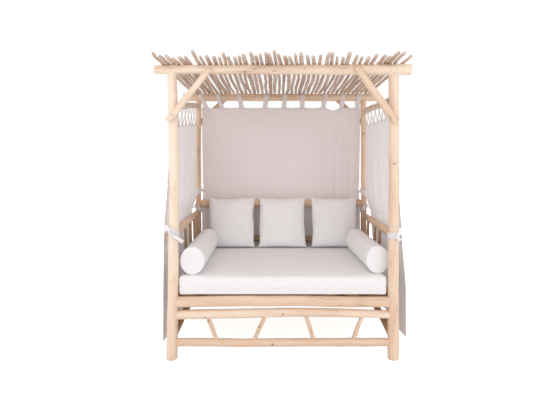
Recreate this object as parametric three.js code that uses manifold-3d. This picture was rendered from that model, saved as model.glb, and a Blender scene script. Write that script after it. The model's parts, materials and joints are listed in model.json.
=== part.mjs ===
// An outdoor daybed with a canopy, built of peeled branch wood, in millimetres.
// X runs to the right, Y to the back and Z up. The origin is on the floor, in the middle of the
// daybed's whole outline. Left and right are as seen from the front.

import * as THREE from 'three';
import { mergeVertices } from 'three/addons/utils/BufferGeometryUtils.js';
import Module from 'manifold-3d';

const wasm = await Module();
wasm.setup();

// Clearances
const fitGap = 0.3; // between two pieces of wood that meet
const clothGap = 0.6; // between cloth and what it hangs on or passes
const cushionGap = 0.5; // between a cushion and what it lies on

// The four posts
const postSpacingX = 1552;
const postSpacingY = 1000;
const frontLeftPostFoot = 81; // diameter at the floor
const frontLeftPostMiddle = 68;
const frontLeftPostTop = 62;
const frontRightPostFoot = 82;
const frontRightPostMiddle = 69;
const frontRightPostTop = 70;
const backPostFoot = 58;
const backPostTop = 53;
const woodBend = 10; // how far a log strays from straight
const frontLeftPostBow = 14; // this post bows inwards

// The two top beams, and the rails that join front to back
const frontBeamHeight = 2022; // to its axis, as every height of a log here
const frontBeamOverrun = 119; // each end, past the post's axis
const frontBeamLeftDiameter = 62;
const frontBeamRightDiameter = 78;
const backBeamDrop = 70; // its axis, below the front beam's
const backBeamOverrun = 143;
const backBeamDiameter = 70;
const leftRailFrontDrop = 253; // the side rails' axes, below the front beam's
const leftRailBackDrop = 157;
const rightRailFrontDrop = 202;
const rightRailBackDrop = 215;
const sideRailDiameter = 45;

// Corner braces, lapped on the outer faces of the posts and beams
const braceFootDrop = 366; // from the beam's axis down to the brace's foot
const backBraceFootDrop = 266;
const braceReach = 268; // along the beam from the post's axis
const backBraceReach = 256;
const leftBraceTail = 12; // past the post's axis
const rightBraceTail = 3;
const backBraceTail = 12;
const braceBoltInset = 20; // inside the post's axis
const leftBraceDiameter = 47;
const rightBraceDiameter = 54;
const backBraceDiameter = 46;
const braceLap = 14; // how deep a brace is notched over a post
const boltHeadDiameter = 16;
const boltHeadHeight = 5;
const boltShankDiameter = 9;
const boltLength = 78;

// The seat's rails
const seatRailHeight = 396;
const seatRailLeftDiameter = 76;
const seatRailRightDiameter = 74;
const seatRailRise = 7; // it bows upwards
const middleRailDrop = 89; // its axis, below the seat rail's
const middleRailLeftDiameter = 64;
const middleRailRightDiameter = 54;
const middleRailRise = 15; // it bows too
const bottomRailHeight = 114;
const bottomRailDiameter = 56;
const sideSeatRailDiameter = 56;
const backSeatRailDiameter = 62;
const sideBottomRailFrontHeight = 136;
const sideBottomRailBackHeight = 208;
const sideBottomRailDiameter = 54;
const backBottomRailHeight = 236;
const railSeatShare = 0.76; // a rail's end lies this share of a post's radius from its axis

// The leaning struts: shares of half the post spacing, at the upper and the lower rail
const frontStrutShares = [[-0.689, -0.588], [-0.158, -0.267], [0.202, 0.285], [0.718, 0.622]];
const sideStrutShares = [[-0.8, -0.7], [0.8, 0.68]];
const strutEndDiameter = 21;
const strutMiddleDiameter = 30;

// Arms and backrest
const armSetOut = 22; // the arms lie outside the posts' axes
const leftArmFrontHeight = 831;
const leftArmBackHeight = 862;
const rightArmFrontHeight = 836;
const rightArmBackHeight = 834;
const armRailFrontDiameter = 58;
const armRailBackDiameter = 53;
const armSlatDiameter = 27;
const leftArmSlatShares = [-0.68, 0.04, 0.42, 0.76];
const rightArmSlatShares = [-0.68, -0.03, 0.28, 0.8];
const backrestRailHeight = 954;
const backrestRailDiameter = 68;
const lowerBackrestRailHeight = 622;
const lowerBackrestRailDiameter = 58;
const backrestSlatDiameter = 40;
const backrestSlatShares = [-0.6, 0.62];

// The slatted bed under the mattress
const bedRise = 49; // the slats' upper face above the seat rails' axes
const bedSlatThickness = 22;
const bedSlatWidth = 92;
const bedSlatCount = 9;
const bedLedgerWidth = 44;
const bedLedgerHeight = 48;
const bedBite = 6; // how far a ledger is notched into the rail that carries it

// The roof: bare sticks laid over the beams, nailed up in five mats
const stickFillShare = 0.74; // how much of the roof's width the sticks cover
const roofEndInset = 33; // from the front beam's ends in to the outermost sticks
const longestFrontOverhang = 265;
const longestBackOverhang = 140;
const stickSides = 6;
const stickTaperShares = [0.75, 1, 0.85]; // thickness at the front tip, middle and back end
const stickRest = 1.5; // a straight stick's underside above the front beam, which a bent one nears
const stickTouchShare = 0.88; // centre distance over summed radii, where two sticks touch
const matStickCounts = [9, 9, 8, 9, 9];
const tipPlaceShares = [
  -0.977, -0.943, -0.897, -0.855, -0.805, -0.757, -0.678, -0.641, -0.589, -0.535, -0.5,
  -0.459, -0.425, -0.378, -0.34, -0.308, -0.245, -0.21, -0.176, -0.135, -0.103, -0.069,
  -0.035, 0.008, 0.05, 0.094, 0.134, 0.188, 0.23, 0.284, 0.342, 0.381, 0.419,
  0.465, 0.5, 0.572, 0.615, 0.671, 0.71, 0.788, 0.829, 0.866, 0.916, 0.985,
];
const frontOverhangShares = [
  0.89, 0.57, 0.64, 0.53, 0.43, 0.51, 1.0, 0.58, 0.57, 0.53, 0.47,
  0.79, 0.51, 0.49, 0.57, 0.53, 0.89, 0.53, 0.7, 0.75, 0.58, 1.0,
  0.74, 0.53, 0.53, 0.74, 0.74, 0.58, 0.47, 0.66, 0.82, 0.51, 0.52,
  0.47, 0.83, 0.58, 0.49, 0.43, 0.74, 0.6, 0.53, 0.83, 0.84, 0.58,
];
const tipLeanShare = 0.3; // of its way to an even spacing, what a stick goes ahead of the beam
const stickDiameterShares = [0.9, 1.1, 1.0, 0.85, 1.2, 0.95, 1.05, 0.9, 1.15, 1.0, 0.8];
const backOverhangShares = [0.6, 1.0, 0.45, 0.8, 0.55, 0.9, 0.5];

// Mattress, pillows and bolsters
const mattressHeight = 128;
const mattressSideInset = 46; // from the posts' axes to its sides
const mattressFrontSetOut = 16; // past the front posts' axes
const mattressBackInset = 50; // from the back posts' axes to its back
const mattressCornerRadius = 18;
const mattressEdgeRadius = 9;
const mattressCrown = 3;
const pillowHeight = 466;
const pillowThickness = 150;
const pillowDrawInShare = 0.06; // how far a pillow's sides are drawn in, as a share
const pillowLean = 0.25; // radians
const leftPillowInset = 98; // from the post's axis to its side
const rightPillowInset = 66;
const leftPillowGap = 19; // between the left and the middle pillow
const rightPillowGap = 31;
const bolsterWidth = 174;
const bolsterHeight = 198;
const bolsterEdge = 14;
const leftBolsterFrontGap = -24; // from the front posts to its front end
const rightBolsterFrontGap = 5;
const bolsterBackGap = 75; // from its back end to the pillows
const leftBolsterInset = 50; // its side, inside the post's axis
const rightBolsterInset = 8;
const rightBolsterTurn = 0.055; // radians, its back end turned inwards

// Curtains
const curtainThickness = 3;
const curtainFold = 6;
const curtainHem = 92; // the lower edge above the floor
const leftCurtainHem = 101;
const rightCurtainHem = 131;
const backCurtainDrop = 94; // from the back beam's axis down to the curtain's upper edge
const backCurtainInset = 40; // its sides, inside the posts' axes
const backCurtainLowInset = 24; // the same below its ties
const backCurtainSetBack = 54; // behind the back posts' axes, below the backrest's top
const backCurtainFoldCount = 6;
const tabWidth = 42;
const tabPlaceShares = [-0.937, -0.741, -0.492, -0.187, 0.04, 0.258, 0.522, 0.738, 0.93];
const leftCurtainDrop = 384; // from the front beam's axis down to the curtain's upper edge
const leftCurtainRise = 64; // the upper edge climbs towards the back
const rightCurtainDrop = 317;
const rightCurtainRise = -16;
const sideCurtainSetOut = 10; // its upper edge hangs just outside the rail's axis
const leftCurtainFlare = 5;
const rightCurtainFlare = 30;
const backEdgeHugPower = 6; // how late its back edge leaves the post on the way down
const sideCurtainFoldCount = 4;
const sideCurtainEndInset = 14; // its ends, inside the posts' axes
const sideCurtainTopInset = 48; // the same at its upper edge, which hangs between the posts
const strapWidth = 34;
const strapPlaceShares = [-0.78, -0.52, -0.26, 0, 0.26, 0.52, 0.78];
const bandThickness = 2.4;
const loopSlack = 1.2; // a loop's ease on a crooked rail
const loopStepCount = 6; // straight stretches in the half turn over the rail
const tieBandHeight = 46;
const frontTieHeight = 903;
const backTieHeight = 916;
const backCurtainTieHeight = 1050;

// Places worked out from the sizes above
const halfX = postSpacingX / 2;
const halfY = postSpacingY / 2;
const frontY = -halfY;
const backY = halfY;
const middleRailHeight = seatRailHeight - middleRailDrop;
const bedTop = seatRailHeight + bedRise;
const mattressWidth = postSpacingX - mattressSideInset * 2;
const mattressDepth = postSpacingY + mattressFrontSetOut - mattressBackInset;
const mattressBottom = bedTop + cushionGap;
const mattressTop = mattressBottom + mattressHeight + mattressCrown;
const pillowWidth = (postSpacingX - leftPillowInset - leftPillowGap - rightPillowGap -
  rightPillowInset) / 3;
const armX = halfX + armSetOut;
const frontBeamLength = postSpacingX + frontBeamOverrun * 2;
const backBeamLength = postSpacingX + backBeamOverrun * 2;
const backBeamHeight = frontBeamHeight - backBeamDrop;
const railHeights = {
  left: [frontBeamHeight - leftRailFrontDrop, frontBeamHeight - leftRailBackDrop],
  right: [frontBeamHeight - rightRailFrontDrop, frontBeamHeight - rightRailBackDrop],
};
const armHeights = {
  left: [leftArmFrontHeight, leftArmBackHeight],
  right: [rightArmFrontHeight, rightArmBackHeight],
};
const roofHalfWidth = frontBeamLength / 2 - roofEndInset;
const stickMeanDiameter = (roofHalfWidth * 2 * stickFillShare) / tipPlaceShares.length;
const outlineShift = (longestFrontOverhang - longestBackOverhang) / 2;

const paint = {
  log: { color: 0xe7cfb3, roughness: 0.62, metalness: 0 },
  darkLog: { color: 0xc9a585, roughness: 0.68, metalness: 0 },
  stick: { color: 0xc9b5a3, roughness: 0.8, metalness: 0 },
  cushion: { color: 0xf1efee, roughness: 0.92, metalness: 0 },
  cloth: { color: 0xe6e0de, roughness: 0.95, metalness: 0 },
  bolt: { color: 0x8d8378, roughness: 0.4, metalness: 0.8 },
};

const vec = (x, y, z) => new THREE.Vector3(x, y, z);
const mix = (a, b, share) => a + (b - a) * share;
const wave = (share) => Math.sin(share * Math.PI * 2);

const daybed = new THREE.Group();
daybed.name = 'daybed';
daybed.position.y = outlineShift;

// Adds a solid as a named mesh. Its geometry is kept about the anchor, where the mesh stands.
function add(name, solid, anchor, look) {
  const geometry = geometryOf(solid).translate(-anchor.x, -anchor.y, -anchor.z);
  geometry.computeVertexNormals();
  const mesh = new THREE.Mesh(geometry, new THREE.MeshStandardMaterial(look));
  mesh.name = name;
  mesh.position.copy(anchor);
  daybed.add(mesh);
}

function solidOf(geometry) {
  const bare = geometry.clone();
  bare.deleteAttribute('normal');
  bare.deleteAttribute('uv');
  const merged = mergeVertices(bare, 1e-3);
  const vertProperties = new Float32Array(merged.attributes.position.array);
  const triVerts = new Uint32Array(merged.index.array);
  return new wasm.Manifold(new wasm.Mesh({ numProp: 3, vertProperties, triVerts }));
}

function geometryOf(solid) {
  const mesh = solid.getMesh();
  const geometry = new THREE.BufferGeometry();
  geometry.setAttribute('position', new THREE.BufferAttribute(mesh.vertProperties, 3));
  geometry.setIndex(new THREE.BufferAttribute(mesh.triVerts, 1));
  return geometry;
}

// What a cut leaves behind inside a neighbour falls away, and the piece itself stays.
function largestBody(solid) {
  return solid.decompose().reduce((a, b) => (b.volume() > a.volume() ? b : a));
}

function cut(solid, cutters) {
  return cutters.length ? largestBody(cutters.reduce((s, c) => s.subtract(c), solid)) : solid;
}

// A closed skin over a stack of rings, each ring a list of points in the same turning sense,
// with a middle point closing each end.
function ringedSkin(rings, first, last) {
  const points = [first, ...rings.flat(), last];
  const sides = rings[0].length;
  const index = [];
  for (let s = 0; s < sides; s++) {
    const next = (s + 1) % sides;
    index.push(0, 1 + next, 1 + s);
    for (let r = 0; r + 1 < rings.length; r++) {
      const low = 1 + r * sides;
      const high = low + sides;
      index.push(low + s, low + next, high + next, low + s, high + next, high + s);
    }
    const top = 1 + (rings.length - 1) * sides;
    index.push(points.length - 1, top + s, top + next);
  }
  const geometry = new THREE.BufferGeometry().setFromPoints(points);
  geometry.setIndex(index);
  return geometry;
}

// A round solid about Y, from its outline of [radius, height] pairs between its two end points.
function turned(outline, sides) {
  const rings = outline.map(([radius, height]) => Array.from({ length: sides }, (_, s) => {
    const angle = (-s / sides) * Math.PI * 2;
    return vec(radius * Math.cos(angle), height, radius * Math.sin(angle));
  }));
  return ringedSkin(rings, vec(0, outline[0][1], 0), vec(0, outline[outline.length - 1][1], 0));
}

// A many-sided section reaches a little past its round one, so that both have like areas.
const evenOut = (sides) => 1 / Math.sqrt(Math.cos(Math.PI / sides));

// The radius along a log that has the given diameters at its start, middle and end.
function taper(diameters) {
  const start = diameters[0];
  const end = diameters[diameters.length - 1];
  const middle = diameters.length > 2 ? diameters[1] : (start + end) / 2;
  const bulge = middle - (start + end) / 2;
  return (t) => (mix(start, end, t) + bulge * Math.sin(Math.PI * t)) / 2;
}

// A log: a smooth line of points, with its thickness along it. Eased ends are slightly rounded,
// and ends that a neighbour hides are left plain.
function log(points, diameters, { sides = 8, steps = 4, eased = true } = {}) {
  const curve = new THREE.CatmullRomCurve3(points);
  return { curve, radiusAt: taper(diameters), sides, steps, eased };
}

// The log's skin, grown by a clearance where it is used to cut a neighbour.
function logGeometry({ curve, radiusAt, sides, steps, eased }, grow = 0) {
  const ends = [curve.getPoint(0), curve.getPoint(1)];
  const along = ends[1].clone().sub(ends[0]).normalize();
  const reference = Math.abs(along.z) > 0.8 ? vec(1, 0, 0) : vec(0, 0, 1);
  const ring = (t, shrink = 1) => {
    const centre = curve.getPoint(t);
    const tangent = t > 0 && t < 1 ? curve.getTangent(t) : along;
    const out = reference.clone().addScaledVector(tangent, -reference.dot(tangent)).normalize();
    const side = tangent.clone().cross(out);
    const radius = radiusAt(t) * shrink * evenOut(sides) + grow;
    return Array.from({ length: sides }, (_, s) => {
      const angle = ((s + 0.5) / sides) * Math.PI * 2;
      return centre.clone().addScaledVector(out, radius * Math.cos(angle))
        .addScaledVector(side, radius * Math.sin(angle));
    });
  };
  const inset = eased ? radiusAt(0) / (3 * curve.getLength()) : 0;
  const stations = Array.from({ length: steps + 1 }, (_, i) => mix(inset, 1 - inset, i / steps));
  const rings = stations.map((t) => ring(t));
  if (eased) rings.splice(0, 0, ring(0, 0.86));
  if (eased) rings.push(ring(1, 0.86));
  return ringedSkin(rings, ends[0], ends[1]);
}

const logSolid = (spec, grow) => solidOf(logGeometry(spec, grow));

// A log from one point to another that strays by shares of woodBend, sideways and upwards, in
// one long bow and one double bow.
function crooked(from, to, diameters, stray = [0, 0, 0, 0], style = {}) {
  const along = to.clone().sub(from).normalize();
  const sideways = Math.abs(along.z) > 0.8 ? vec(1, 0, 0) : vec(along.y, -along.x, 0).normalize();
  const upwards = sideways.clone().cross(along);
  const points = [0, 0.25, 0.5, 0.75, 1].map((t) => {
    const bow = Math.sin(Math.PI * t) * woodBend;
    const double = wave(t) * woodBend;
    return from.clone().lerp(to, t)
      .addScaledVector(sideways, stray[0] * bow + stray[1] * double)
      .addScaledVector(upwards, stray[2] * bow + stray[3] * double);
  });
  return log(points, diameters, style);
}

// How far the flats of a many-sided section lie from its axis.
const flatReach = (radius, sides) => radius * evenOut(sides) * Math.cos(Math.PI / sides);

// Where a log's axis is at a place along X or Y, and how far its corners and flats reach there.
function sectionAt(spec, axis, place) {
  const from = spec.curve.getPoint(0)[axis];
  const to = spec.curve.getPoint(1)[axis];
  const t = THREE.MathUtils.clamp((place - from) / (to - from), 0, 1);
  const radius = spec.radiusAt(t);
  return { centre: spec.curve.getPoint(t), reach: radius * evenOut(spec.sides),
    flat: flatReach(radius, spec.sides) };
}

// Every log of the frame: its shape, and the neighbours it is fitted against.
const logs = new Map();
const addLog = (name, spec, against = [], look = paint.log) =>
  logs.set(name, { spec, against, look });

function addPosts() {
  const post = (name, x, y, top, diameters, beam, stray) =>
    addLog(name, crooked(vec(x, y, 0), vec(x, y, top), diameters, stray, { sides: 10 }), [beam]);
  const frontTop = frontBeamHeight - frontBeamLeftDiameter / 4;
  const backTop = backBeamHeight - backBeamDiameter / 4;
  post('front_left_post', -halfX, frontY, frontTop,
    [frontLeftPostFoot, frontLeftPostMiddle, frontLeftPostTop], 'front_top_beam',
    [frontLeftPostBow / woodBend, -0.3, 0, 0.3]);
  post('front_right_post', halfX, frontY, frontTop,
    [frontRightPostFoot, frontRightPostMiddle, frontRightPostTop], 'front_top_beam',
    [-0.1, -0.2, 0.2, 0]);
  for (const [side, sign] of [['left', -1], ['right', 1]]) {
    post(`back_${side}_post`, sign * halfX, backY, backTop, [backPostFoot, backPostTop],
      'back_top_beam', [sign * 0.2, sign * -0.2, 0, 0]);
  }
}

function addTopBeams() {
  addLog('front_top_beam', crooked(
    vec(-frontBeamLength / 2, frontY, frontBeamHeight),
    vec(frontBeamLength / 2, frontY, frontBeamHeight),
    [frontBeamLeftDiameter, frontBeamRightDiameter], [0, 0.2, 0.1, 0.15], { sides: 10 }));
  addLog('back_top_beam', crooked(
    vec(-backBeamLength / 2, backY, backBeamHeight),
    vec(backBeamLength / 2, backY, backBeamHeight),
    [backBeamDiameter, backBeamDiameter], [0.1, 0, 0.1, 0], { sides: 10 }));
}

// A rail between the axes of two posts, fitted to both and to any rails that meet it there. Its
// ends stop inside the posts.
function addRail(name, from, to, diameters, neighbours, stray, look) {
  const along = to.clone().sub(from).normalize();
  const seat = (post, height) => {
    const { spec } = logs.get(post);
    return spec.radiusAt(height / spec.curve.getPoint(1).z) * railSeatShare;
  };
  const start = from.clone().addScaledVector(along, seat(neighbours[0], from.z));
  const end = to.clone().addScaledVector(along, -seat(neighbours[1], to.z));
  addLog(name, crooked(start, end, diameters, stray, { eased: false }), neighbours, look);
}

function addSideRails() {
  for (const [side, sign] of [['left', -1], ['right', 1]]) {
    const posts = [`front_${side}_post`, `back_${side}_post`];
    const x = sign * halfX;
    const [railFront, railBack] = railHeights[side];
    const [armFront, armBack] = armHeights[side];
    addRail(`${side}_top_rail`, vec(x, frontY, railFront), vec(x, backY, railBack),
      [sideRailDiameter, sideRailDiameter], posts, [0.3, 0.5, 0.3, -0.5]);
    addRail(`${side}_seat_rail`, vec(x, frontY, seatRailHeight), vec(x, backY, seatRailHeight),
      [sideSeatRailDiameter, sideSeatRailDiameter],
      [...posts, 'front_seat_rail', 'back_seat_rail'], [0, 0.2, 0, 0.3], paint.darkLog);
    addRail(`${side}_bottom_rail`, vec(x, frontY, sideBottomRailFrontHeight),
      vec(x, backY, sideBottomRailBackHeight),
      [sideBottomRailDiameter, sideBottomRailDiameter],
      [...posts, 'front_bottom_rail', 'back_bottom_rail'], [0, 0.3, 0, 0.3], paint.darkLog);
    addRail(`${side}_arm_rail`, vec(sign * armX, frontY, armFront),
      vec(sign * armX, backY, armBack), [armRailFrontDiameter, armRailBackDiameter], posts,
      [0, 0, 0.3, sign * 0.2]);
  }
}

function addCrossRails() {
  const rail = (name, y, height, diameter, posts, stray, look, otherDiameter = diameter) =>
    addRail(name, vec(-halfX, y, height), vec(halfX, y, height), [diameter, otherDiameter],
      [`${posts}_left_post`, `${posts}_right_post`], stray, look);
  rail('front_seat_rail', frontY, seatRailHeight, seatRailLeftDiameter, 'front',
    [0, 0.3, seatRailRise / woodBend, 0.3], paint.log, seatRailRightDiameter);
  rail('front_middle_rail', frontY, middleRailHeight, middleRailLeftDiameter, 'front',
    [0, 0.3, middleRailRise / woodBend, -0.2], paint.log, middleRailRightDiameter);
  rail('front_bottom_rail', frontY, bottomRailHeight, bottomRailDiameter, 'front',
    [0, -0.3, -0.2, -0.2]);
  rail('back_seat_rail', backY, seatRailHeight, backSeatRailDiameter, 'back', [0, 0, 0, 0.1],
    paint.darkLog);
  rail('back_bottom_rail', backY, backBottomRailHeight, bottomRailDiameter, 'back',
    [0, 0.2, 0.3, 0], paint.darkLog);
  rail('backrest_top_rail', backY, backrestRailHeight, backrestRailDiameter, 'back',
    [0, 0, 0, 0.3]);
  rail('backrest_lower_rail', backY, lowerBackrestRailHeight, lowerBackrestRailDiameter, 'back',
    [0, 0, 0.2, 0.2], paint.darkLog);
}

// A brace from the post's outer face up to the beam's outer face.
function addBrace(name, sign, y, out, diameter, beamHeight, drop, reach, tail, against) {
  const postRadius = (out < 0 ? frontRightPostTop : backPostTop) / 2;
  const braceY = y + out * (postRadius + diameter / 2 - braceLap);
  const foot = vec(sign * (halfX + tail), braceY, beamHeight - drop);
  const head = vec(sign * (halfX - reach), braceY, beamHeight + diameter / 8);
  addLog(name, crooked(foot, head, [diameter, diameter * 0.9], [0, 0, 0, 0.3]), against);
}

function addBraces() {
  for (const [side, sign, diameter, tail] of [['left', -1, leftBraceDiameter, leftBraceTail],
    ['right', 1, rightBraceDiameter, rightBraceTail]]) {
    addBrace(`front_${side}_brace`, sign, frontY, -1, diameter, frontBeamHeight, braceFootDrop,
      braceReach, tail, [`front_${side}_post`, 'front_top_beam']);
    addBrace(`back_${side}_brace`, sign, backY, 1, backBraceDiameter, backBeamHeight,
      backBraceFootDrop, backBraceReach, backBraceTail, [`back_${side}_post`, 'back_top_beam']);
  }
}

// A spindle between two rails: thin at its ends and full in the middle.
function addSpindle(name, from, to, ends, middle, rails, look) {
  const style = { sides: 6, eased: false };
  addLog(name, crooked(from, to, [ends, middle, ends], [0.2, 0.1, 0.1, 0], style), rails, look);
}

function addStruts() {
  frontStrutShares.forEach(([top, bottom], i) => {
    addSpindle(`front_strut_${i + 1}`, vec(top * halfX, frontY, middleRailHeight),
      vec(bottom * halfX, frontY, bottomRailHeight), strutEndDiameter, strutMiddleDiameter,
      ['front_middle_rail', 'front_bottom_rail']);
  });
  for (const [side, sign] of [['left', -1], ['right', 1]]) {
    sideStrutShares.forEach(([top, bottom], i) => {
      const low = mix(sideBottomRailFrontHeight, sideBottomRailBackHeight, (bottom + 1) / 2);
      addSpindle(`${side}_side_strut_${i + 1}`, vec(sign * halfX, top * halfY, seatRailHeight),
        vec(sign * halfX, bottom * halfY, low), strutEndDiameter, strutMiddleDiameter,
        [`${side}_seat_rail`, `${side}_bottom_rail`], paint.darkLog);
    });
  }
}

// Arm slats stand on the side seat rail and meet the arm rail.
function addArmSlats() {
  for (const [side, sign, shares] of [['left', -1, leftArmSlatShares],
    ['right', 1, rightArmSlatShares]]) {
    shares.forEach((share, i) => {
      const arm = sectionAt(logs.get(`${side}_arm_rail`).spec, 'y', share * halfY).centre;
      addSpindle(`${side}_arm_slat_${i + 1}`, vec(arm.x, share * halfY, arm.z),
        vec(sign * (armX + halfX) / 2, share * halfY, seatRailHeight), armSlatDiameter * 0.85,
        armSlatDiameter, [`${side}_arm_rail`, `${side}_seat_rail`], paint.darkLog);
    });
  }
}

function addBackrestSlats() {
  backrestSlatShares.forEach((share, i) => {
    addSpindle(`backrest_slat_${i + 1}`, vec(share * halfX, backY, backrestRailHeight),
      vec(share * halfX, backY, lowerBackrestRailHeight), backrestSlatDiameter * 0.85,
      backrestSlatDiameter, ['backrest_top_rail', 'backrest_lower_rail'], paint.darkLog);
  });
}

addTopBeams();
addPosts();
addSideRails();
addCrossRails();
addBraces();
addStruts();
addArmSlats();
addBackrestSlats();

const grown = (name) => logSolid(logs.get(name).spec, fitGap);

// The bolt of a front brace: a low round head and a shank that ends inside the post.
function boltSpec(side) {
  const brace = logs.get(`front_${side}_brace`).spec;
  const tail = side === 'left' ? leftBraceTail : rightBraceTail;
  const shareAlong = (tail + braceBoltInset) / (braceReach + tail);
  const centre = brace.curve.getPoint(shareAlong);
  const face = centre.y - brace.radiusAt(shareAlong);
  return { name: `front_${side}_brace_bolt`, x: centre.x, face, z: centre.z };
}

function boltSolid({ x, face, z }, grow = 0) {
  const head = boltHeadDiameter / 2 + grow;
  const shank = boltShankDiameter / 2 + grow;
  const outline = [[shank, -boltLength - grow], [shank, -grow], [head, -grow],
    [head, boltHeadHeight * 0.6 + grow], [head * 0.7, boltHeadHeight + grow]];
  const geometry = turned(outline, 12).rotateX(Math.PI);
  return solidOf(geometry.translate(x, face + boltHeadHeight / 2, z));
}

const bolts = ['left', 'right'].map(boltSpec);
const boltHoles = new Map(bolts.map((bolt) => [bolt.name, boltSolid(bolt, fitGap)]));

function boltsThrough(name) {
  const side = name.includes('_left_') ? 'left' : 'right';
  const bored = [`front_${side}_brace`, `front_${side}_post`].includes(name);
  return bored ? [boltHoles.get(`front_${side}_brace_bolt`)] : [];
}

for (const [name, { spec, against, look }] of logs) {
  const cutters = [...against.map(grown), ...boltsThrough(name)];
  add(name, cut(logSolid(spec), cutters), spec.curve.getPoint(0), look);
}
for (const bolt of bolts) {
  add(bolt.name, boltSolid(bolt), vec(bolt.x, bolt.face, bolt.z), paint.bolt);
}

// The slatted bed: slats from front to back on two ledgers, all nailed into one panel.
function bedPanel() {
  const bar = (width, depth, height, x, y, z) =>
    solidOf(new THREE.BoxGeometry(width, depth, height).translate(x, y, z));
  const innerX = halfX - sideSeatRailDiameter / 2 + bedBite;
  const nearY = frontY + seatRailRightDiameter / 2 - bedBite;
  const farY = backY - backSeatRailDiameter / 2 + bedBite;
  const slatZ = bedTop - bedSlatThickness / 2;
  const ledgerZ = bedTop - bedSlatThickness - bedLedgerHeight / 2;
  const pieces = [nearY + bedLedgerWidth / 2, farY - bedLedgerWidth / 2].map((y) =>
    bar(innerX * 2, bedLedgerWidth, bedLedgerHeight, 0, y, ledgerZ));
  const span = innerX * 2 - bedSlatWidth * 2;
  for (let i = 0; i < bedSlatCount; i++) {
    const x = -span / 2 + (span * i) / (bedSlatCount - 1);
    const length = farY - nearY - bedBite * 3;
    pieces.push(bar(bedSlatWidth, length, bedSlatThickness, x, (farY + nearY) / 2, slatZ));
  }
  return pieces.reduce((a, b) => a.add(b));
}

const bedNeighbours = [...logs.keys()].filter((name) => /seat_rail|_post|arm_slat/.test(name));
add('bed_slats', cut(bedPanel(), bedNeighbours.map(grown)), vec(0, 0, bedTop), paint.darkLog);

// How far a loop of cloth over a rail reaches from the rail's axis, on its inner face.
const loopInner = (railReach) =>
  (railReach + clothGap + loopSlack) / Math.cos(Math.PI / loopStepCount / 2);

// One roof stick. It rests on both beams, and leans over to touch a neighbour at one or two
// places between them, where the two are nailed together.
function roofStick(number) {
  const count = tipPlaceShares.length;
  const radius = (i) =>
    (stickMeanDiameter / 2) * stickDiameterShares[i % stickDiameterShares.length];
  const base = (i) => mix(-roofHalfWidth, roofHalfWidth, (i + 0.5) / count);
  const frontReach = longestFrontOverhang * frontOverhangShares[number];
  const backReach = longestBackOverhang * backOverhangShares[number % backOverhangShares.length];
  const touch = (left) => {
    const middle = (base(left) + base(left + 1)) / 2;
    const half = ((radius(left) + radius(left + 1)) * stickTouchShare) / 2;
    return number === left ? middle - half : middle + half;
  };
  const matEnd = matStickCounts.map((_, i) => matStickCounts.slice(0, i + 1).reduce((a, b) => a + b));
  const joined = (left) => left >= 0 && left + 1 < count && !matEnd.includes(left + 1);
  const even = number % 2 === 0;
  const evenPair = even ? number : number - 1;
  const oddPair = even ? number - 1 : number;
  const tip = tipPlaceShares[number] * roofHalfWidth;
  const x = [
    tip,
    mix(tip, base(number), tipLeanShare),
    joined(evenPair) ? touch(evenPair) : base(number),
    joined(oddPair) ? touch(oddPair) : base(number),
    base(number),
    base(number),
  ];
  const y = [frontY - frontReach, frontY, mix(frontY, backY, 1 / 3), mix(frontY, backY, 2 / 3),
    backY, backY + backReach];
  const thickness = stickTaperShares.map((share) => radius(number) * 2 * share);
  const rise = (i) => flatReach(taper(thickness)(i / (y.length - 1)), stickSides);
  const front = sectionAt(logs.get('front_top_beam').spec, 'x', base(number));
  const back = sectionAt(logs.get('back_top_beam').spec, 'x', base(number));
  const frontZ = front.centre.z + front.flat + stickRest + rise(1);
  const backZ = back.centre.z + loopInner(back.reach) + bandThickness + clothGap + rise(4);
  const points = x.map((px, i) =>
    vec(px, y[i], mix(frontZ, backZ, (y[i] - frontY) / postSpacingY)));
  return log(points, thickness, { sides: stickSides, steps: points.length - 1, eased: false });
}

// The sticks of one mat are nailed where they touch, so a mat is one piece. It is fitted to the
// front beam and to the last stick of the mat before it.
function addRoofMats() {
  let first = 0;
  matStickCounts.forEach((size, i) => {
    const sticks = Array.from({ length: size }, (_, s) => logSolid(roofStick(first + s)));
    const mat = sticks.reduce((a, b) => a.add(b));
    const against = [grown('front_top_beam')];
    if (first > 0) against.push(logSolid(roofStick(first - 1), fitGap));
    const anchor = vec(mix(-roofHalfWidth, roofHalfWidth, (i + 0.5) / matStickCounts.length),
      frontY, frontBeamHeight);
    add(`roof_mat_${i + 1}`, cut(mat, against), anchor, paint.stick);
    first += size;
  });
}

addRoofMats();

// The mattress: a stack of rounded oblong rings, with soft edges and a slight crown.
function mattressGeometry() {
  const cornerStepCount = 4;
  const outline = (inset, height) => {
    const points = [];
    [[1, 1], [-1, 1], [-1, -1], [1, -1]].forEach(([sx, sy], corner) => {
      for (let i = 0; i <= cornerStepCount; i++) {
        const angle = (corner + i / cornerStepCount) * (Math.PI / 2);
        const radius = Math.max(mattressCornerRadius - inset, mattressCornerRadius / 4);
        const cx = sx * (mattressWidth / 2 - inset - radius);
        const cy = sy * (mattressDepth / 2 - inset - radius);
        points.push(vec(cx + radius * Math.cos(angle), cy + radius * Math.sin(angle), height));
      }
    });
    return points;
  };
  const edge = mattressEdgeRadius;
  const steps = [0, 0.35, 0.7, 1].map((share) => (share * Math.PI) / 2);
  const lower = steps.map((a) => outline(edge * (1 - Math.sin(a)), edge * (1 - Math.cos(a))));
  const upper = steps.map((a) => outline(edge * (1 - Math.cos(a)),
    mattressHeight - edge * (1 - Math.sin(a))));
  const crowned = outline(edge * 2.4, mattressHeight + mattressCrown);
  const rings = [...lower, ...upper, crowned];
  return ringedSkin(rings, vec(0, 0, 0), vec(0, 0, mattressHeight + mattressCrown));
}

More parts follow.
